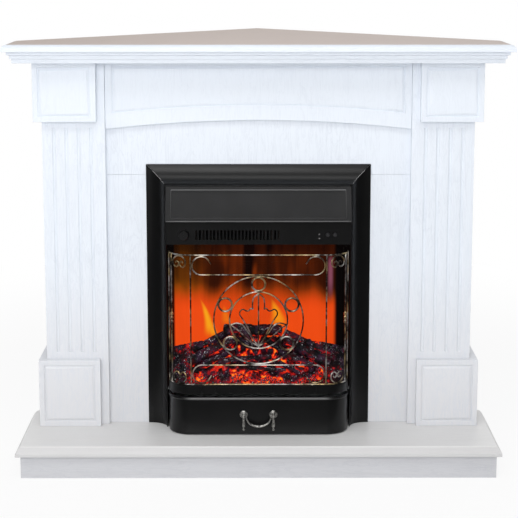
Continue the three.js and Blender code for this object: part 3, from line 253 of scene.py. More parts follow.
sky_strength = 0.5
sky_dimming = 0.93
dome = bpy.data.worlds.new("dome")
dome.use_nodes = True
bpy.context.scene.world = dome
sky = Nodes(dome.node_tree)
sky_x, sky_y = sky.split(sky.node("TexCoord"))[:2]
sky_mirrored = sky.node("LightPath", output="Is Glossy Ray")
sky_seen = sky.node("LightPath", output="Is Camera Ray").larger(sky_mirrored)
sky_seen = sky_seen.larger(sky.node("LightPath", output="Is Transmission Ray"))
toward_front = (abs(sky_x) * 0.5 - sky_y) * 1.7 + 0.5
dimmed = toward_front.larger(0.0).smaller(1.0) * sky_mirrored
sky_white = (1, 1, 1, 1)
sky_light = sky.node("Background", inputs={"Color": sky_white, "Strength": sky_strength})
shown_strength = 1.0 - dimmed * sky_dimming
sky_shown = sky.node("Background", inputs={"Color": sky_white, "Strength": shown_strength})
sky_mix = sky.node("MixShader", inputs={0: sky_seen, 1: sky_light, 2: sky_shown})
sky.connect(sky.tree.nodes["World Output"].inputs["Surface"], sky_mix)


# ---------------------------------------------------------------- white woodwork
# Boards and mouldings of the mantelpiece, faced with open-grained veneer under white
# lacquer. The grain runs up the legs, and along the mouldings, the shelf and the hearth.
def dress(names, finish, edge=0.0005, steps=2):
    """Gives carried-over pieces their finish and breaks their sharp edges."""
    for name in names:
        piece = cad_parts[name]
        piece.data.materials.clear()
        piece.data.materials.append(finish.material)
        for face in piece.data.polygons:
            face.use_smooth = True
        weld = piece.modifiers.new("weld", "WELD")
        weld.merge_threshold = 0.00001
        bevel = piece.modifiers.new("edges", "BEVEL")
        bevel.width = edge
        bevel.segments = steps
        bevel.limit_method = "ANGLE"
        bevel.angle_limit = math.radians(28)
        normals = piece.modifiers.new("normals", "WEIGHTED_NORMAL")
        normals.keep_sharp = True


def grained(name, along, colour, streak, gloss=0.42, figure=1.0, foot=None):
    """Lacquered veneer whose grain runs along one axis: fine pores and a broad figure."""
    wood = Finish(name, Specular_IOR_Level=0.25)
    stretch = [1.0, 1.0, 1.0]
    stretch[along] = 0.035
    pore_place = wood.place(stretch)
    stretch[along] = 0.16
    figure_place = wood.place(stretch)
    pores = wood.noise(pore_place, 380, 4.0, 0.65, 0.25)
    lines = wood.noise(figure_place, 62, 5.0, 0.6, 1.6)
    broad = wood.noise(wood.place(), 5.5, 2.0)
    pore_mask = pores.ramp(0.50, 0.72)
    line_mask = abs(lines - 0.5).ramp(0.0, 0.055, 1.0, 0.0)
    shade = (pore_mask * 0.32 + line_mask * 0.30) * figure
    # Painted shade: with a foot colour, the wood turns to that greyer white towards the floor.
    if foot:
        painted_low_shade = wood.across()[2].ramp(0.12, 0.50, 1.0, 0.0)
        colour = wood.blend(painted_low_shade, colour, foot)
    shade = shade * broad.ramp(0.3, 0.7, 0.55, 1.15)
    wood.set(
        Base_Color=wood.blend(shade, colour, streak),
        Roughness=pore_mask * 0.14 + gloss,
        Normal=wood.relief(1.0 - shade, 0.00022),
    )
    return wood


white = (0.785, 0.83, 0.895)
white_streak = (0.64, 0.68, 0.755)
# Painted shade: the hearth, its skirt and the legs towards the floor get greyer whites than the
# mantel above, darkest on the skirt under the hearth's edge.
hearth_shaded_white = (0.75, 0.745, 0.74)
hearth_shaded_streak = (0.64, 0.63, 0.63)
skirt_shaded_white = (0.615, 0.62, 0.645)
skirt_shaded_streak = (0.50, 0.51, 0.55)
low_shaded_white = (0.735, 0.74, 0.765)
upright_grain = grained("white_upright_grain", 2, white, white_streak, foot=low_shaded_white)
frieze_grain = grained("white_frieze_grain", 2, white, white_streak, figure=0.6)
level_grain = grained("white_level_grain", 0, white, white_streak, figure=0.7)
return_grain = grained("white_return_grain", 1, white, white_streak, figure=0.7)
hearth_grain = grained("hearth_level_grain", 0, hearth_shaded_white, hearth_shaded_streak, 0.36, 0.5)
skirt_grain = grained("skirt_level_grain", 0, skirt_shaded_white, skirt_shaded_streak, 0.4, 1.0)
skirt_return = grained("skirt_return_grain", 1, skirt_shaded_white, skirt_shaded_streak, 0.4, 1.0)

# The hearth's rounded edge is a little greyer than its top.
hearth_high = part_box("hearth_board")[1]
edge_foot = hearth_high.z - 0.003
edge_head = hearth_high.z - 0.001
edge_grey = (0.86, 0.86, 0.87)
hearth_edge = hearth_grain.across()[2].ramp(edge_foot, edge_head, 1.0, 0.0)
hearth_grain.set(
    Base_Color=hearth_grain.blend(
        hearth_edge, hearth_grain.now("Base Color"), edge_grey, "MULTIPLY"
    )
)

both = ("left", "right")
dress(["frieze_board"] + [f"capital_block_{s}" for s in both], frieze_grain)
dress(["surround_header"] + [f"base_block_{s}" for s in both], upright_grain)
dress([f"{n}_{s}" for s in both for n in ("pilaster", "side_panel")], upright_grain)
dress([f"surround_slip_{s}" for s in both], upright_grain, 0.0003)
dress(["cornice_front"], level_grain, 0.0004)
dress([f"cornice_{s}" for s in both], return_grain, 0.0004)
dress(["hearth_board"], hearth_grain, 0.0006)
dress(["hearth_skirt_front"], skirt_grain, 0.0006)
dress([f"hearth_skirt_{s}" for s in both], skirt_return, 0.0006)

# ---------------------------------------------------------------- mantel shelf
# One board with a rounded edge, that rests on the cornice and on two cleats at the walls.
# Its top face is painted a warm beige, darker than the white edge: a painted reflection, as the
# board is white all over.
shelf_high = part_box("mantel_shelf")[1]
# Painted reflection: the beige tones given to the top face only.
shelf_top_painted_reflection = (0.555, 0.475, 0.435)
shelf_top_painted_reflection_pore = (0.52, 0.44, 0.40)
shelf_finish = grained("mantel_shelf", 0, white, white_streak, 0.5, 0.5)
shelf_finish.shader.inputs["Specular IOR Level"].default_value = 0.04
shelf_z = shelf_finish.across()[2]
shelf_pores = shelf_finish.noise(shelf_finish.place((0.05, 1, 1)), 300, 3.0)
painted_top_reflection = shelf_finish.blend(shelf_pores, shelf_top_painted_reflection, shelf_top_painted_reflection_pore)
on_top = shelf_z.ramp(shelf_high.z - 0.0005, shelf_high.z - 0.0001)
shelf_edge = shelf_finish.now("Base Color")
shelf_finish.set(Base_Color=shelf_finish.blend(on_top, shelf_edge, painted_top_reflection))
dress(["mantel_shelf"], shelf_finish)

# ---------------------------------------------------------------- hidden boards
# Bare fibreboard rails and cleats that lie against the two walls. The shelf and the hearth
# are screwed down on them.
board = Finish("bare_board", Roughness=0.85)
board_fleck = board.noise(board.place(), 900, 3.0, 0.7)
board_cloud = board.noise(board.place(), 12, 2.0)
board_colour = board.blend(board_fleck.ramp(0.35, 0.7), (0.50, 0.37, 0.24), (0.38, 0.27, 0.17))
board.set(
    Base_Color=board.blend(board_cloud * 0.4, board_colour, (0.56, 0.43, 0.29)),
    Normal=board.relief(board_fleck, 0.0003),
)
dress([f"{n}_{s}" for s in both for n in ("shelf_cleat", "hearth_rail")], board)


# ---------------------------------------------------------------- painted steel
# Pressed steel sheet with a satin black stove paint that has a slight orange peel. The
# flange, the fascia, the tray and the drawer are black, and the hood a charcoal grey.
def stove_paint(name, colour, gloss, shine):
    paint = Finish(name, Specular_IOR_Level=shine)
    peel = paint.noise(paint.place(), 700, 2.0)
    cloud = paint.noise(paint.place(), 14, 3.0)
    lighter = tuple(1.7 * c for c in colour)
    paint.set(
        Base_Color=paint.blend(cloud.ramp(0.3, 0.8) * 0.5, colour, lighter),
        Roughness=cloud * 0.08 + gloss,
        Normal=paint.relief(peel, 0.00004),
    )
    return paint


black_paint = stove_paint("black_stove_paint", (0.0022, 0.0022, 0.0024), 0.30, 0.34)
grey_paint = stove_paint("grey_stove_paint", (0.0145, 0.0145, 0.015), 0.36, 0.20)
dress([f"flange_{s}" for s in both] + ["flange_top"], black_paint, 0.0006)
dress(["control_fascia", "fire_tray"], black_paint, 0.0005)
dress(["hood"], grey_paint, 0.0012)

# The rolled bead along the drawer's top is painted a softer grey along its straight front: a
# painted highlight.
drawer_paint = stove_paint("drawer_paint", (0.0022, 0.0022, 0.0024), 0.26, 0.36)
drawer_x, drawer_z = drawer_paint.across()[::2]
bead_up = 0.1578
bead_half = 0.0034
bead_fade = 0.145
bead_end = 0.172
bead_highlight_grey = (0.12, 0.12, 0.12)
# Painted highlight: the band of lighter grey on the bead, fading where the corners turn away.
bead = (abs(drawer_z - bead_up) / bead_half).ramp(0.2, 1.1, 1.0, 0.0)
bead = bead * abs(drawer_x).ramp(bead_fade, bead_end, 1.0, 0.0)
drawer_base = drawer_paint.now("Base Color")
drawer_paint.set(Base_Color=drawer_paint.blend(bead, drawer_base, bead_highlight_grey))
dress(["drawer_front"], drawer_paint, 0.0006)

# The hood's face is pressed with a slightly raised panel, a finger's width in from its edges.
hood_low, hood_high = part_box("hood")
hood_x, hood_z = grey_paint.across()[::2]
side_inner, side_outer = 0.0125, 0.0110
foot_outer, foot_inner = 0.0075, 0.0087
head_inner, head_outer = 0.0080, 0.0052
panel_depth = 0.0012
panel_across = abs(hood_x).ramp(hood_high.x - side_inner, hood_high.x - side_outer, 1.0, 0.0)
panel_foot = hood_z.ramp(hood_low.z + foot_outer, hood_low.z + foot_inner)
panel_head = hood_z.ramp(hood_high.z - head_inner, hood_high.z - head_outer, 1.0, 0.0)
pressed = panel_across * panel_foot * panel_head
# Painted highlight: a paler line around the raised panel's border, strongest along its top.
panel_edge_highlight = pressed * (1.0 - pressed) * hood_z.ramp(hood_low.z, hood_high.z, 1.6, 4.0)
grey_paint.set(
    Base_Color=grey_paint.blend(panel_edge_highlight, grey_paint.now("Base Color"), (0.19, 0.19, 0.19)),
    Normal=grey_paint.relief(pressed, panel_depth, grey_paint.now("Normal")),
)

# ---------------------------------------------------------------- casing and works
# Folded sheet steel with a zinc coat that has its usual spangle: the casing, the inner
# shelf, the ash pan, the blower and the flicker unit.
zinc = Finish("zinc_coated_steel", Metallic=1.0)
spangle = zinc.node(
    "TexVoronoi", {"feature": "F1"}, {"Vector": zinc.place(), "Scale": 85.0}, output=1
)
spangle_grey = zinc.node("SeparateColor", inputs={0: spangle})
zinc_brushed = zinc.noise(zinc.place((1, 1, 0.06)), 500, 2.0)
zinc.set(
    Base_Color=zinc.blend(spangle_grey, (0.44, 0.46, 0.48), (0.62, 0.64, 0.66)),
    Roughness=spangle_grey * 0.18 + 0.34,
    Normal=zinc.relief(zinc_brushed, 0.00003),
)
zinc_sheets = ["casing_wrapper", "casing_back", "chassis_shelf", "ash_pan"]
dress(zinc_sheets + ["flicker_cradle"], zinc, 0.0003)
dress(["led_bar", "flicker_rod"], zinc, 0.0002, 1)

# The blower's zinc is painted dull and dark: painted shade, as it stands deep in the casing behind
# the fascia's slots.
shaded_dull_zinc = Finish("shaded_dull_zinc", Metallic=0.6)
# Painted shade: a mottle between two dark zinc tones.
dark_mottle = shaded_dull_zinc.noise(shaded_dull_zinc.place(), 120, 4.0, 0.6)
shaded_dull_zinc.set(
    Base_Color=shaded_dull_zinc.blend(dark_mottle, (0.035, 0.036, 0.038), (0.075, 0.073, 0.070)),
    Roughness=dark_mottle * 0.3 + 0.55,
)
dress(["blower_housing", "blower_wheel"], shaded_dull_zinc, 0.0002, 1)

ribbon = Finish("heating_ribbon", Metallic=0.9)
ribbon_scale = ribbon.noise(ribbon.place(), 160, 3.0)
ribbon.set(
    Base_Color=ribbon.blend(ribbon_scale, (0.06, 0.045, 0.035), (0.03, 0.03, 0.034)),
    Roughness=ribbon_scale * 0.3 + 0.4,
)
dress(["heater_element"], ribbon, 0.0002, 1)

# The knob, the buttons, the inlet gland and the flicker motor's cover are satin plastic.
def moulding(name, dark, light):
    moulded = Finish(name, Specular_IOR_Level=0.3)
    moulded_grain = moulded.noise(moulded.place(), 1500, 2.0)
    moulded.set(
        Base_Color=moulded.blend(moulded_grain, dark, light),
        Roughness=moulded_grain * 0.15 + 0.3,
        Normal=moulded.relief(moulded_grain, 0.00005),
    )
    return moulded


black_moulding = moulding("black_moulding", (0.004, 0.004, 0.0045), (0.010, 0.010, 0.010))
grey_moulding = moulding("grey_moulding", (0.020, 0.020, 0.022), (0.036, 0.036, 0.038))
dress(["inlet_gland", "flicker_motor"], black_moulding, 0.0004)
dress(["control_knob"], black_moulding, 0.0002)
dress(["heat_button", "flame_button"], grey_moulding, 0.0002)

# ---------------------------------------------------------------- flame screen
# A glossy translucent sheet. The lamps and the flicker rod behind it throw flames on it:
# dull brown at the top, orange red below, with a few yellow tongues over the coals.
screen_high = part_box("flame_screen")[1]
shade_left = 0.024
spire_left = 0.010
lilac_right = 0.163
lilac_half = 0.006
tongue_colour = (0.92, 0.36, 0.010)
screen = Finish("flame_screen", Roughness=0.06, Specular_IOR_Level=0.08)
screen.set(Emission_Strength=1.0)
flame_x, flame_z = screen.across()[::2]
waver = screen.noise(screen.place((5, 1, 2.2)), 2.4, 3.0)
streaks = screen.noise(screen.place((1, 0.2, 0.07)), 40, 3.0, 0.55, 0.4)
columns = screen.noise(screen.place((1, 0.2, 0.05), (0.4, 0, 0)), 13, 2.0, 0.5)
clouds = screen.noise(screen.place((1, 0.2, 0.5)), 8.0, 3.0, 0.5, 0.6)
fade = abs(flame_x + 0.02).ramp(0.02, 0.11, 0.452, 0.412)
fade = fade + (columns - 0.5) * 0.11 + (clouds - 0.5) * 0.08
heat = flame_z.ramp(0.340, fade, 0.94, 0.21) - flame_z.ramp(0.462, 0.490, 0.0, 0.12)
uneven = (streaks - 0.5) * 0.42 + (columns - 0.5) * 0.55 + (clouds - 0.5) * 0.65
heat = heat + uneven * flame_z.ramp(0.34, 0.41, 0.6, 0.9)
shade = (abs(flame_x + shade_left + (waver - 0.5) * 0.02) / 0.010).ramp(0.2, 1.4, 0.20, 0.0)
heat = heat - shade * flame_z.ramp(0.38, 0.43)
spire = (abs(flame_x + spire_left + (waver - 0.5) * 0.02) / 0.006).ramp(0.2, 1.5, 0.26, 0.0)
heat = heat + spire * flame_z.ramp(0.47, 0.43) * flame_z.ramp(0.36, 0.40)
glow = screen.node(
    "ValToRGB",
    {
        "stops": [
            (0.0, (0.005, 0.0006, 0.0002)),
            (0.20, (0.042, 0.0062, 0.0006)),
            (0.40, (0.17, 0.023, 0.0015)),
            (0.60, (0.42, 0.044, 0.003)),
            (0.82, (0.70, 0.060, 0.005)),
            (1.0, (0.84, 0.070, 0.006)),
        ]
    },
    {0: heat},
)
smoky = flame_x.ramp(-0.09, -0.17) * flame_z.ramp(0.36, 0.41)
glow = screen.blend(smoky, glow, (0.85, 1.5, 0.6), "MULTIPLY")


def tongue(foot, tip, half, lean, strength):
    """A leaning tongue of yellow flame, from (across, up) at its foot to its tip."""
    rise = (flame_z - foot[1]) / (tip[1] - foot[1])
    line = rise * (tip[0] - foot[0]) + foot[0] + rise * (1.0 - rise) * lean
    wide = (1.0 - rise).larger(0.0) ** 0.8 * half + 0.0012
    inside = (abs(flame_x - line + (waver - 0.5) * 0.012) / wide).ramp(0.1, 1.7, 1.0, 0.0)
    return inside * rise.ramp(-0.35, 0.15) * rise.ramp(0.55, 1.1, 1.0, 0.0) * strength


tongues = tongue((-0.112, 0.300), (-0.130, 0.368), 0.0075, 0.012, 1.0)
tongues = tongues.larger(tongue((-0.104, 0.290), (-0.116, 0.335), 0.008, 0.0, 0.8))
tongues = tongues.larger(tongue((0.046, 0.318), (0.030, 0.370), 0.013, 0.008, 0.75))
tongues = tongues.larger(tongue((-0.072, 0.318), (-0.078, 0.356), 0.009, 0.0, 0.30))
glow = screen.blend(tongues, glow, tongue_colour)
lilac = (abs(flame_x - lilac_right) / lilac_half).ramp(0.2, 1.4, 0.55, 0.0)
lilac = lilac * flame_z.ramp(0.36, 0.42)
glow = screen.blend(lilac * flame_z.ramp(0.45, 0.475, 0.8, 0.0), glow, (0.45, 0.13, 0.22))
leak = flame_z.ramp(screen_high.z - 0.0035, screen_high.z - 0.0015) * columns
glow = screen.blend(leak, glow, (0.42, 0.02, 0.008))
ends = flame_x.ramp(-0.193, -0.187) * flame_x.ramp(0.168, 0.178, 1.0, 0.0)
screen.set(
    Base_Color=screen.blend(streaks, (0.0012, 0.001, 0.001), (0.003, 0.002, 0.002)),
    Emission_Color=screen.blend(ends, (0.001, 0.0005, 0.0005), glow),
)
dress(["flame_screen"], screen, 0.0004)

# ---------------------------------------------------------------- ember bed
# One moulded sheet of tinted resin, lit from below: heaped coals, finer cinders along the
# front and at the ends, and half-burnt sticks that lie up the slope and are part of it.
def ease(value, low, high):
    """Runs smoothly from 0 at low to 1 at high, which may be the smaller of the two."""
    share = min(1.0, max(0.0, (value - low) / (high - low)))
    return share * share * (3.0 - 2.0 * share)


def crevice(point, size):
    """0 in the crevices between packed stones of that size, rising over each stone."""
    near = noise.voronoi(point / size)[0]
    return near[1] - near[0]


def stone(point, size):
    """The same, with a chance number from 0 to 1 for the stone itself."""
    near, centres = noise.voronoi(point / size)
    return near[1] - near[0], noise.cell(centres[0] * 7.3)


def new_piece(name, mesh, finish, body, stands_for):
    """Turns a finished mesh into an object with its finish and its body."""
    bmesh.ops.recalc_face_normals(mesh, faces=mesh.faces)
    data = bpy.data.meshes.new(name)
    mesh.to_mesh(data)
    mesh.free()
    for face in data.polygons:
        face.use_smooth = True
    data.materials.append(finish.material)
    piece = bpy.data.objects.new(name, data)
    bpy.context.scene.collection.objects.link(piece)
    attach(piece, body)
    if stands_for:
        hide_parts(*stands_for)


def new_mesh():
    mesh = bmesh.new()
    mesh.verts.layers.float.new("glow")
    mesh.verts.layers.float.new("ash")
    return mesh


# The bark's noise vectors start from the clock unless they are given a seed.
bark_seed = 1
noise.seed_set(bark_seed)


def burnt_stick(mesh, foot, head, thick, thin, seed, hot):
    """A charred stick: a rough round bar whose bark has split into long scales."""
    glow = mesh.verts.layers.float["glow"]
    ash = mesh.verts.layers.float["ash"]
    foot, head = Vector(foot) / 1000, Vector(head) / 1000
    length = (head - foot).length
    along = (head - foot) / length
    side = along.cross(Vector((0, 0, 1))).normalized()
    up = side.cross(along)
    shift = Vector((seed * 3.7, seed * 1.3, seed * 5.1))
    rings = max(12, int(length / 0.0016))
    around = 34
    bark = bmesh.ops.create_grid(mesh, x_segments=rings, y_segments=around, size=1)["verts"]
    for vertex in bark:
        s = (vertex.co.x + 1) / 2
        turn = math.pi * (vertex.co.y + 1)
        middle = foot + along * (length * s)
        middle = middle + side * (0.003 * noise.noise(shift + Vector((0, 0, length * s / 0.03))))
        radius = (thick + (thin - thick) * s) / 1000
        blunt = min(1.0, min(s, 1.0 - s) * length / (0.45 * radius))
        radius = radius * (0.25 + 0.75 * math.sqrt(1.0 - (1.0 - blunt) ** 2))
        out = side * math.cos(turn) + up * math.sin(turn)
        skin = Vector((math.cos(turn) * 1.6, math.sin(turn) * 1.6, length * s / 0.016))
        skin = skin + shift + 0.35 * noise.noise_vector(skin * 0.9 + shift)
        split = crevice(skin, 1.0)
        scale = ease(split, 0.02, 0.30)
        knotty = noise.fractal(shift + out * 0.7 + along * (s * length / 0.022), 1, 2, 3)
        depth = 0.17 * (1.0 - scale) - 0.13 * knotty
        vertex.co = middle + out * (radius * (1.0 - depth))
        patch = ease(noise.noise(shift * 2 + vertex.co / 0.020), -0.25, 0.35)
        under = ease(-out.z + 0.35 * out.y, -0.75, 0.55)
        vertex[glow] = hot * (1.0 - ease(split, 0.03, 0.20)) * patch * (0.25 + 0.75 * under)
        # Pale ash on the upper sides, partly a painted highlight where the tops face the light.
        vertex[ash] = ease(out.z - 0.4 * out.y, -0.1, 0.9) * ease(split, 0.15, 0.5)
    bmesh.ops.remove_doubles(mesh, verts=bark, dist=0.00001)
    bmesh.ops.holes_fill(mesh, edges=[edge for edge in mesh.edges if edge.is_boundary])


bed_low, bed_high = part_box("ember_bed")
bed_half = bed_high.x
bed_corner = 0.0467
bed_front = 0.196
bed_side = 0.262
bed_crown = 0.290
bed_slope = [(0.0, 0.0), (0.3, 0.38), (0.62, 0.8), (0.85, 1.0), (1.0, 0.97)]
bed_columns = 440
bed_rows = 120
bed_foot = 8
coal_size = 0.017
cinder_size = 0.0056
coal_depth = 0.008
cinder_depth = 0.0032


def bed_point(across, back):
    """The heap's outer skin: across in metres, back from 0 at the front to 1 at the screen."""
    past = max(0.0, abs(across) - (bed_half - bed_corner))
    reach = math.sqrt(max(0.0, bed_corner**2 - past**2))
    front = bed_low.y + bed_corner - reach + past * 0.02
    crest = bed_side + (bed_crown - bed_side) * math.cos(across / bed_half * math.pi / 2)
    for (t0, s0), (t1, s1) in zip(bed_slope, bed_slope[1:]):
        if back <= t1 or t1 == 1.0:
            share = s0 + (s1 - s0) * (back - t0) / (t1 - t0)
            break
    return Vector((across, front + (bed_high.y - front) * back,
                   bed_front + (crest - bed_front) * share))


bed_mesh = new_mesh()
bed_glow = bed_mesh.verts.layers.float["glow"]
bed_ash = bed_mesh.verts.layers.float["ash"]
bed_steps = bed_foot + bed_rows + 2
bed_sole = set()
bmesh.ops.create_grid(bed_mesh, x_segments=bed_columns, y_segments=bed_steps, size=1)
for vertex in bed_mesh.verts:
    across = bed_half * vertex.co.x * 0.999
    step = round((vertex.co.y + 1) / 2 * bed_steps)
    if step in (0, bed_steps):
        back = bed_high.y if step else bed_point(across, 0).y
        vertex.co = (across, back, bed_low.z)
        bed_sole.add(vertex)
        continue
    j = step - 1 - bed_foot
    outer = bed_point(across, max(0, j) / bed_rows)
    outer.z += min(0, j) * 0.0015
    coal = crevice(outer + Vector((0.3, 0, 0)), coal_size)
    cinder, chance = stone(outer + Vector((0, 0.7, 0)), cinder_size)
    fine = max(ease(abs(across), 0.115, 0.150), ease(outer.z, 0.222, 0.206))
    fine = max(fine, 0.35 * ease(noise.noise(outer / 0.03), 0.0, 0.3))
    sunk = coal_depth * (1 - fine) * (1 - ease(coal, 0.0, 0.40))
    sunk += cinder_depth * (0.35 + 0.65 * fine) * (1 - ease(cinder, 0.0, 0.45))
    sunk += 0.006 * ease(noise.noise(outer / 0.045 + Vector((5, 5, 5))), -0.1, 0.6)
    placed = outer + Vector((0, 0.72, -0.69)) * sunk
    placed.y = min(placed.y, bed_high.y)
    vertex.co = placed
    middle = 1 - ease(abs(across), 0.135, 0.185)
    hot = ease(noise.noise(outer / 0.022 + Vector((9, 1, 4))), -0.45, 0.25) * middle
    hot = max(hot, 0.55 * ease(noise.noise(outer / 0.012), 0.05, 0.45))
    hot = max(hot, 0.52 * ease(outer.z, 0.209, 0.196) * middle)
    lit = max(0.85 * (1 - ease(cinder, 0.02, 0.32)), 1.1 * ease(chance, 0.58, 0.80))
    broken = ease(noise.noise(outer / 0.008 + Vector((2, 8, 3))), -0.5, 0.1)
    seam = (1 - fine) * (1 - ease(coal, 0.04, 0.42)) * broken + fine * lit
    vertex[bed_glow] = hot * seam
    ashen = 0.5 + 0.35 * ease(abs(across), 0.11, 0.15)
    vertex[bed_ash] = ease(cinder, 0.15, 0.5) * ease(chance, ashen, ashen - 0.3)
sole = [edge for edge in bed_mesh.edges if bed_sole.issuperset(edge.verts)]
bmesh.ops.bridge_loops(bed_mesh, edges=sole)
bmesh.ops.holes_fill(bed_mesh, edges=[edge for edge in bed_mesh.edges if edge.is_boundary])

sticks = [
    ((-150, -287, 214), (-64, -270, 258), 9, 8),
    ((-92, -280, 236), (30, -279, 246), 8, 7),
    ((-60, -268, 292), (-4, -279, 262), 9, 7),
    ((-34, -262, 308), (-4, -282, 252), 6, 5),
    ((-150, -262, 256), (-70, -255, 296), 10, 9),
    ((150, -262, 254), (58, -255, 297), 10, 9),
    ((44, -278, 258), (122, -286, 228), 8, 7),
    ((110, -266, 284), (130, -284, 232), 7, 7),
    ((44, -285, 236), (94, -291, 210), 6, 5),
    ((8, -268, 288), (52, -280, 262), 7, 6),
    ((-20, -287, 222), (62, -289, 218), 5, 5),
]
for number, (foot, head, thick, thin) in enumerate(sticks):
    burnt_stick(bed_mesh, foot, head, thick, thin, number + 1, hot=1.1)

embers = Finish("glowing_embers", Roughness=0.7, Specular_IOR_Level=0.12)
embers.set(Emission_Strength=1.0)
ember_glow = embers.node("Attribute", {"attribute_name": "glow"}, output=2)
ember_ash_and_highlight = embers.node("Attribute", {"attribute_name": "ash"}, output=2)
grit = embers.noise(embers.place(), 420, 4.0, 0.65)
cloud = embers.noise(embers.place(), 60, 3.0, 0.6)
# The pale colour is partly ash and partly painted highlight.
pale_ash_and_highlight = (ember_ash_and_highlight * grit.ramp(0.54, 0.63) * cloud.ramp(0.32, 0.55)).smaller(1.0)
char = embers.blend(cloud.ramp(0.45, 0.6), (0.004, 0.0035, 0.005), (0.027, 0.010, 0.026))
flicker = ember_glow * cloud.ramp(0.25, 0.6, 0.55, 1.1) + (grit - 0.5) * 0.12 * ember_glow
ember_fire = embers.node(
    "ValToRGB",
    {
        "stops": [
            (0.0, (0.0, 0.0, 0.0)),
            (0.25, (0.04, 0.001, 0.002)),
            (0.48, (0.34, 0.006, 0.006)),
            (0.74, (0.80, 0.024, 0.007)),
            (0.93, (0.93, 0.095, 0.008)),
            (1.0, (1.0, 0.24, 0.02)),
        ]
    },
    {0: flicker},
)
char = embers.blend((ember_glow * 1.5).smaller(1.0), char, (0.012, 0.001, 0.001))
embers.set(
    Base_Color=embers.blend(pale_ash_and_highlight * (1.0 - ember_glow), char, (0.66, 0.65, 0.68)),
    Roughness=grit.ramp(0.4, 0.6, 0.35, 0.85),
    Emission_Color=ember_fire,
    Normal=embers.relief(grit, 0.0006),
)
new_piece("ember_bed_skin", bed_mesh, embers, "root", ["ember_bed"])

# ---------------------------------------------------------------- charred logs
# Three moulded logs that rest on the heap: one across its crest and one down each side. Their bark
# has split into scales, ashy above, partly a painted highlight on their upper sides, and red in the
# splits below.
log_places = {
    "log_back": ((-80, -257, 303), (54, -258, 303), 14, 13),
    "log_left": ((-160, -281, 234), (-50, -271, 288), 13, 12),
    "log_right": ((160, -281, 230), (58, -271, 286), 13, 12),
}
for number, (name, (foot, head, thick, thin)) in enumerate(log_places.items()):
    log_mesh = new_mesh()
    burnt_stick(log_mesh, foot, head, thick, thin, 20 + number, hot=0.9)
    new_piece(f"{name}_bark", log_mesh, embers, "root", [name])


# ---------------------------------------------------------------- wrought guard
# A loose guard of round iron bar, bent cold, welded at its crossings and finished in dark
# bronze that is rubbed to silver and gold. It stands in the tray on two pegs.
def smooth_path(points, step):
    """A smooth curve through the given points, cut about every step."""
    points = [Vector(p) for p in points]
    guides = [points[0] * 2 - points[1], *points, points[-1] * 2 - points[-2]]
    path = []
    for a, b, c, d in zip(guides, guides[1:], guides[2:], guides[3:]):
        count = max(1, round((c - b).length / step))
        for i in range(count):
            t = i / count
            bend = (2 * a - 5 * b + 4 * c - d) * t**2 + (3 * b - a - 3 * c + d) * t**3
            path.append(0.5 * (2 * b + (c - a) * t + bend))
    return [*path, points[-1]]


def round_bar(mesh, path, radius, sides=12, closed=False):
    """A round bar drawn along a path. Its radius is one number, or one for each point."""
    path = [Vector(p) for p in path]
    radii = list(radius) if isinstance(radius, (list, tuple)) else [radius] * len(path)
    if closed:
        path.append(path[0])
        radii.append(radii[0])
    guides = [path[-2], *path, path[1]] if closed else [path[0], *path, path[-1]]
    side = seat = None
    for before, centre, after, thick in zip(guides, path, guides[2:], radii):
        along = (after - before).normalized()
        if side is None:
            side = along.cross(Vector((0, 1, 0)))
            if side.length < 0.2:
                side = along.cross(Vector((1, 0, 0)))
        side = (side - along * side.dot(along)).normalized()
        turn = Matrix((side, along.cross(side), along)).transposed().to_4x4()
        last, seat = seat, Matrix.Translation(centre) @ turn @ Matrix.Scale(thick, 4)
        if last is None:
            made = bmesh.ops.create_circle(
                mesh, cap_ends=not closed, segments=sides, radius=1, matrix=seat
            )
            first = ring = made["verts"]
            rim = list(dict.fromkeys(edge for vertex in ring for edge in vertex.link_edges))
            continue
        drawn = bmesh.ops.extrude_edge_only(mesh, edges=rim)["geom"]
        ring = [part for part in drawn if isinstance(part, bmesh.types.BMVert)]
        rim = [part for part in drawn if isinstance(part, bmesh.types.BMEdge)]
        rim = [edge for edge in rim if edge.is_boundary]
        bmesh.ops.transform(mesh, matrix=seat @ last.inverted(), verts=ring)
    if closed:
        bmesh.ops.remove_doubles(mesh, verts=first + ring, dist=0.00002)
    else:
        bmesh.ops.contextual_create(mesh, geom=rim)


bronze = Finish("rubbed_bronze", Metallic=1.0)
rubbed = bronze.noise(bronze.place(), 38, 4.0, 0.65)
golden = bronze.noise(bronze.place((1, 1, 1), (3, 3, 3)), 22, 2.0)
hammered = bronze.noise(bronze.place(), 420, 2.0)
rubbed_colour = bronze.blend(golden.ramp(0.42, 0.58), (0.78, 0.76, 0.72), (0.72, 0.55, 0.28))
bronze.set(
    Base_Color=bronze.blend(rubbed.ramp(0.38, 0.62), (0.050, 0.044, 0.038), rubbed_colour),
    Roughness=hammered * 0.25 + 0.2,
    Normal=bronze.relief(hammered, 0.0004),
)

guard_wire = 0.0016
guard_front = -0.303
guard_corner = 0.050
guard_straight = 0.151
guard_top = 0.485
guard_foot = 0.1894
upper_bar = 0.4403
lower_bar = 0.2341
horn_turn = 30
horn_crest = 0.0145
horn_wire = 0.0015
horn_half = [(0, 1), (-0.62, 0.83), (-1.07, 0.28), (-1.03, -0.41), (-0.59, -0.75)]
horn_half += [(-0.14, -0.48), (-0.14, 0), (-0.45, 0.14), (-0.66, -0.1)]
post_turn = 60
end_turn = 88
post_gap = 0.0001
bead_pitch = 0.009
bead_rise = [-0.0044, -0.0040, -0.0026, 0, 0.0026, 0.0040, 0.0044]
bead_reach = [0.0016, 0.0022, 0.0030, 0.0032, 0.0030, 0.0022, 0.0016]
peg_across = 0.120
peg_length = 0.009
peg_chamfer = 0.0012
peg_tip_radius = 0.0008
hook_radius = 0.0206
hook_across = 0.1269
hook_turn = 225
hook_step = 9
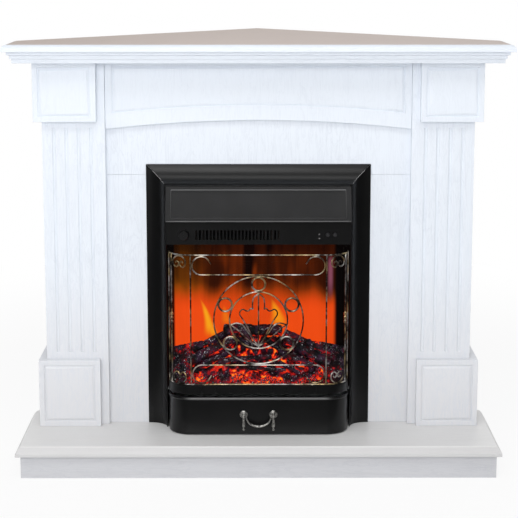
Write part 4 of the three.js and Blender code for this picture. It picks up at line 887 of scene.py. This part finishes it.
hook_lean = 0.013
mirrored = Vector((-1, 1, 1))
bend_step = 0.0025
medallion_up = 0.3372
medallion_outer = 0.0996
medallion_inner = 0.0645
small_ring = 0.015
small_wire = 0.0022
small_turns = [90, 25.5, 154.5, -40, 220]
fleur_wire = 0.0015
petal = [(0, 61), (-11, 51), (-13.6, 35), (-12.5, 25), (-17, 27.4), (-22, 21.6), (-28, 21.6)]
petal += [(-35, 25), (-41, 20), (-41.5, 12), (-35, 2), (-23, -20), (-12, -42), (0, -61)]
leaf_top = [(-62.6, -10.5), (-48, -6.6), (-35, -11.4), (-25, -25.4), (-11, -45), (0, -59)]
leaf_under = [(-62.6, -10.5), (-50.4, -19), (-36.4, -31.6), (-22.4, -45.5), (0, -60)]


def round_corner(side, turn, up):
    """A point on the guard's bowed plan, by its turn in degrees from the straight front."""
    turn = math.radians(turn)
    return Vector((
        side * (guard_straight + guard_corner * math.sin(turn)),
        guard_front + guard_corner * (1 - math.cos(turn)),
        up,
    ))


def rail_path(up):
    left = [round_corner(-1, 90 - 5 * i, up) for i in range(19)]
    right = [round_corner(1, 5 * i, up) for i in range(19)]
    steps = 24
    middle = [left[-1].lerp(right[0], i / steps) for i in range(1, steps)]
    return left + middle + right


def ram_horn(mesh, side, up, way):
    """A small arch, square to the bend of the rail, whose two ends curl in and meet."""
    arch = [*horn_half[:0:-1], *[(-x, z) for x, z in horn_half]]
    turn = math.radians(side * horn_turn)
    seat = round_corner(side, horn_turn, up - way * (horn_crest + guard_wire + horn_wire / 2))
    bend = [
        seat + horn_crest * Vector((x * math.cos(turn), x * math.sin(turn), z * way))
        for x, z in arch
    ]
    round_bar(mesh, smooth_path(bend, bend_step), horn_wire, 10)


def ring_path(radius, across, up, count):
    turns = [2 * math.pi * i / count for i in range(count)]
    return [
        Vector((across + radius * math.cos(t), guard_front, up + radius * math.sin(t)))
        for t in turns
    ]


top_mesh = bmesh.new()
round_bar(top_mesh, rail_path(guard_top), guard_wire)
frame_mesh = bmesh.new()
round_bar(frame_mesh, rail_path(guard_foot), guard_wire)
for side in (-1, 1):
    ram_horn(top_mesh, side, guard_top, 1)
    ram_horn(frame_mesh, side, guard_foot, -1)
    for turn in (0, post_turn, end_turn):
        low, high = round_corner(side, turn, guard_foot), round_corner(side, turn, guard_top)
        low.z += guard_wire / 2
        high.z -= guard_wire + post_gap
        steps = 30
        post = [low.lerp(high, i / steps) for i in range(steps + 1)]
        round_bar(frame_mesh, post, guard_wire)
    for lift in (-bead_pitch, 0, bead_pitch):
        middle = round_corner(side, post_turn, (guard_foot + guard_top) / 2 + lift)
        bead = [middle + Vector((0, 0, rise)) for rise in bead_rise]
        round_bar(frame_mesh, bead, bead_reach, 16)
    peg = Vector((side * peg_across, guard_front, guard_foot - guard_wire - peg_length))
    peg_tip = peg + Vector((0, 0, peg_chamfer))
    peg_top = Vector((peg.x, peg.y, guard_foot))
    round_bar(frame_mesh, [peg, peg_tip, peg_top], [peg_tip_radius, guard_wire, guard_wire])
new_piece("guard_top_bar", top_mesh, bronze, "guard", ["guard_top_rail"])
new_piece("guard_posts", frame_mesh, bronze, "guard", ["guard_frame"])

for name, bar_up, way in (("upper", upper_bar, 1), ("lower", lower_bar, -1)):
    scroll_mesh = bmesh.new()
    hook = []
    for turn in range(0, hook_turn + 1, hook_step):
        t = math.radians(turn)
        across = hook_across + hook_radius * math.sin(t)
        hook.append((across, bar_up + way * hook_radius * (1 - math.cos(t))))
    tip = (hook[-1][0] - hook_lean * 0.55, hook[-1][1] - way * hook_lean * 0.84)
    hook.append(tip)
    half = [Vector((x, guard_front, z)) for x, z in hook]
    steps = 20
    straight = [half[0].lerp(half[0] * mirrored, i / steps) for i in range(1, steps)]
    opposite = [p * mirrored for p in half]
    round_bar(scroll_mesh, [*half[::-1], *straight, *opposite], guard_wire)
    stands_for = f"guard_scroll_{name}"
    new_piece(f"guard_{name}_scroll", scroll_mesh, bronze, "guard", [stands_for])

medal_mesh = bmesh.new()
round_bar(medal_mesh, ring_path(medallion_outer, 0, medallion_up, 96), guard_wire, closed=True)
round_bar(medal_mesh, ring_path(medallion_inner, 0, medallion_up, 72), guard_wire, closed=True)
stem_low = Vector((0, guard_front, medallion_up - medallion_inner))
stem_high = Vector((0, guard_front, medallion_up + medallion_inner))
round_bar(medal_mesh, [stem_low.lerp(stem_high, i / 20) for i in range(21)], guard_wire)
ring_reach = (medallion_outer + medallion_inner) / 2
for turn in small_turns:
    t = math.radians(turn)
    across, up = ring_reach * math.cos(t), medallion_up + ring_reach * math.sin(t)
    round_bar(medal_mesh, ring_path(small_ring, across, up, 40), small_wire, closed=True)
for side in (-1, 1):
    for line in (petal, leaf_top, leaf_under):
        bend = [(side * x / 1000, guard_front, medallion_up + z / 1000) for x, z in line]
        round_bar(medal_mesh, smooth_path(bend, bend_step), fleur_wire, 10)
new_piece("guard_rosette", medal_mesh, bronze, "guard", ["guard_medallion"])


# ---------------------------------------------------------------- drop handle
# Two cast pewter rosettes, each with a turned baluster hanging from it, and a forged bail
# that swings between their posts.
def turned(mesh, profile, seat, axis, steps=32):
    """A turned piece: (radius, distance) pairs in mm, spun about an axis through its seat."""
    axis = Vector(axis)
    out = axis.orthogonal().normalized()
    line = [mesh.verts.new(Vector(seat) + (out * r + axis * d) / 1000) for r, d in profile]
    edges = [mesh.edges.new(pair) for pair in zip(line, line[1:])]
    bmesh.ops.spin(
        mesh, geom=line + edges, cent=seat, axis=axis, angle=2 * math.pi, steps=steps,
        use_merge=True,
    )
    bmesh.ops.remove_doubles(mesh, verts=mesh.verts, dist=0.00001)


pewter = Finish("pewter", Metallic=1.0)
tarnish = pewter.noise(pewter.place(), 240, 3.0, 0.6)
dents = pewter.noise(pewter.place(), 700, 2.0)
pewter.set(
    Base_Color=pewter.blend(tarnish.ramp(0.42, 0.68), (0.55, 0.54, 0.51), (0.06, 0.057, 0.055)),
    Roughness=tarnish * 0.25 + 0.22,
    Normal=pewter.relief(dents, 0.0002),
)
handle_half = 0.03325
handle_up = 0.1217
rosette_back = -0.3093
baluster_out = 0.0042
rosette_face = [(9.2, 0), (9.2, 0.9), (8.6, 1.5), (7.6, 2.1), (6.6, 2.3), (5.6, 1.9), (4.6, 2.3)]
rosette_face += [(3.4, 3.0), (2.9, 4.6), (3.0, 6.0), (3.9, 7.2), (4.5, 8.8), (4.6, 10.0)]
rosette_face += [(4.3, 11.6), (3.3, 13.2), (1.8, 14.1), (0, 14.4)]
baluster = [(0, -37), (1.4, -36.6), (2.3, -35.4), (2.8, -33.6), (2.2, -31.4), (1.5, -30.3)]
baluster += [(1.7, -29.4), (3.0, -28.5), (3.7, -26.5), (3.9, -24), (3.6, -20), (3.0, -16)]
baluster += [(2.9, -13.5), (3.5, -11.5), (3.6, -9.2), (2.8, -6.5), (2.6, -4.8), (0, -3.4)]
for label, side in (("left", -1), ("right", 1)):
    rosette_mesh = bmesh.new()
    seat = (side * handle_half, rosette_back, handle_up)
    turned(rosette_mesh, [(0, 0), *rosette_face], seat, (0, -1, 0), 36)
    hung = (side * handle_half, rosette_back - baluster_out, handle_up)
    turned(rosette_mesh, baluster, hung, (0, 0, 1), 24)
    new_piece(f"handle_rosette_{label}", rosette_mesh, pewter, "drawer",
              [f"rosette_{label}"])

bail_axis = -0.3193
bail_half = 0.03165
bail_bow = 0.02725
bail_drop = 0.025
bail_thin = 0.0014
bail_swell = 0.0014
bail_mesh = bmesh.new()
bail_path = []
bail_thick = []
bail_steps = 56
for i in range(bail_steps + 1):
    t = (2 * i / bail_steps - 1) * math.pi / 2
    fall = bail_drop * max(0.0, math.cos(t)) ** 0.8
    bail_path.append(Vector((bail_bow * math.sin(t), bail_axis, handle_up - fall)))
    bail_thick.append(bail_thin + bail_swell * max(0.0, math.cos(t)) ** 1.5)
pin = Vector((bail_half, bail_axis, handle_up))
bail_path = [pin * mirrored, *bail_path, pin]
round_bar(bail_mesh, bail_path, [bail_thin, *bail_thick, bail_thin], 14)
new_piece("handle_bow", bail_mesh, pewter, "bail", ["handle_bail"])

# ---------------------------------------------------------------- rolled hem
# The hood's front edge is rolled over a wire, so that no raw steel is left to touch. Its paint is a
# paler grey: a painted highlight along the rolled edge.
hem_radius = 0.0013
hem_inset = 0.0015
hem_mesh = bmesh.new()
hem_steps = 40
hem_reach = hood_high.x - hem_inset
hem_line = [
    Vector((hem_reach * (2 * i / hem_steps - 1), hood_low.y + hem_radius * 0.8,
            hood_low.z + hem_radius))
    for i in range(hem_steps + 1)
]
round_bar(hem_mesh, hem_line, hem_radius, 14)
# Painted highlight: the hem's paint is far paler than the hood's.
hem_highlight_paint = stove_paint("hem_highlight_paint", (0.085, 0.085, 0.086), 0.30, 0.5)
new_piece("hood_hem", hem_mesh, hem_highlight_paint, "root", None)

# ---------------------------------------------------------------- indicator lamps
# Two little clear lamps that stand beside the push buttons. They are moulded in clear
# plastic and let a little into the fascia.
lens_glass = Finish("indicator_lens", Roughness=0.15, Specular_IOR_Level=0.5)
lens_cloud = lens_glass.noise(lens_glass.place(), 600, 2.0)
lens_glass.set(Base_Color=lens_glass.blend(lens_cloud, (0.09, 0.088, 0.088), (0.18, 0.175, 0.175)))
lamp_across = 0.136
lamp_face = -0.262
lamp_dome = [(0, -0.3), (2.1, -0.3), (2.1, 0.5), (1.7, 1.4), (0.9, 1.9), (0, 2.1)]
for label, up in (("upper", 0.5240), ("lower", 0.5146)):
    lamp_mesh = bmesh.new()
    turned(lamp_mesh, lamp_dome, (lamp_across, lamp_face, up), (0, -1, 0), 20)
    new_piece(f"indicator_{label}", lamp_mesh, lens_glass, "root", None)
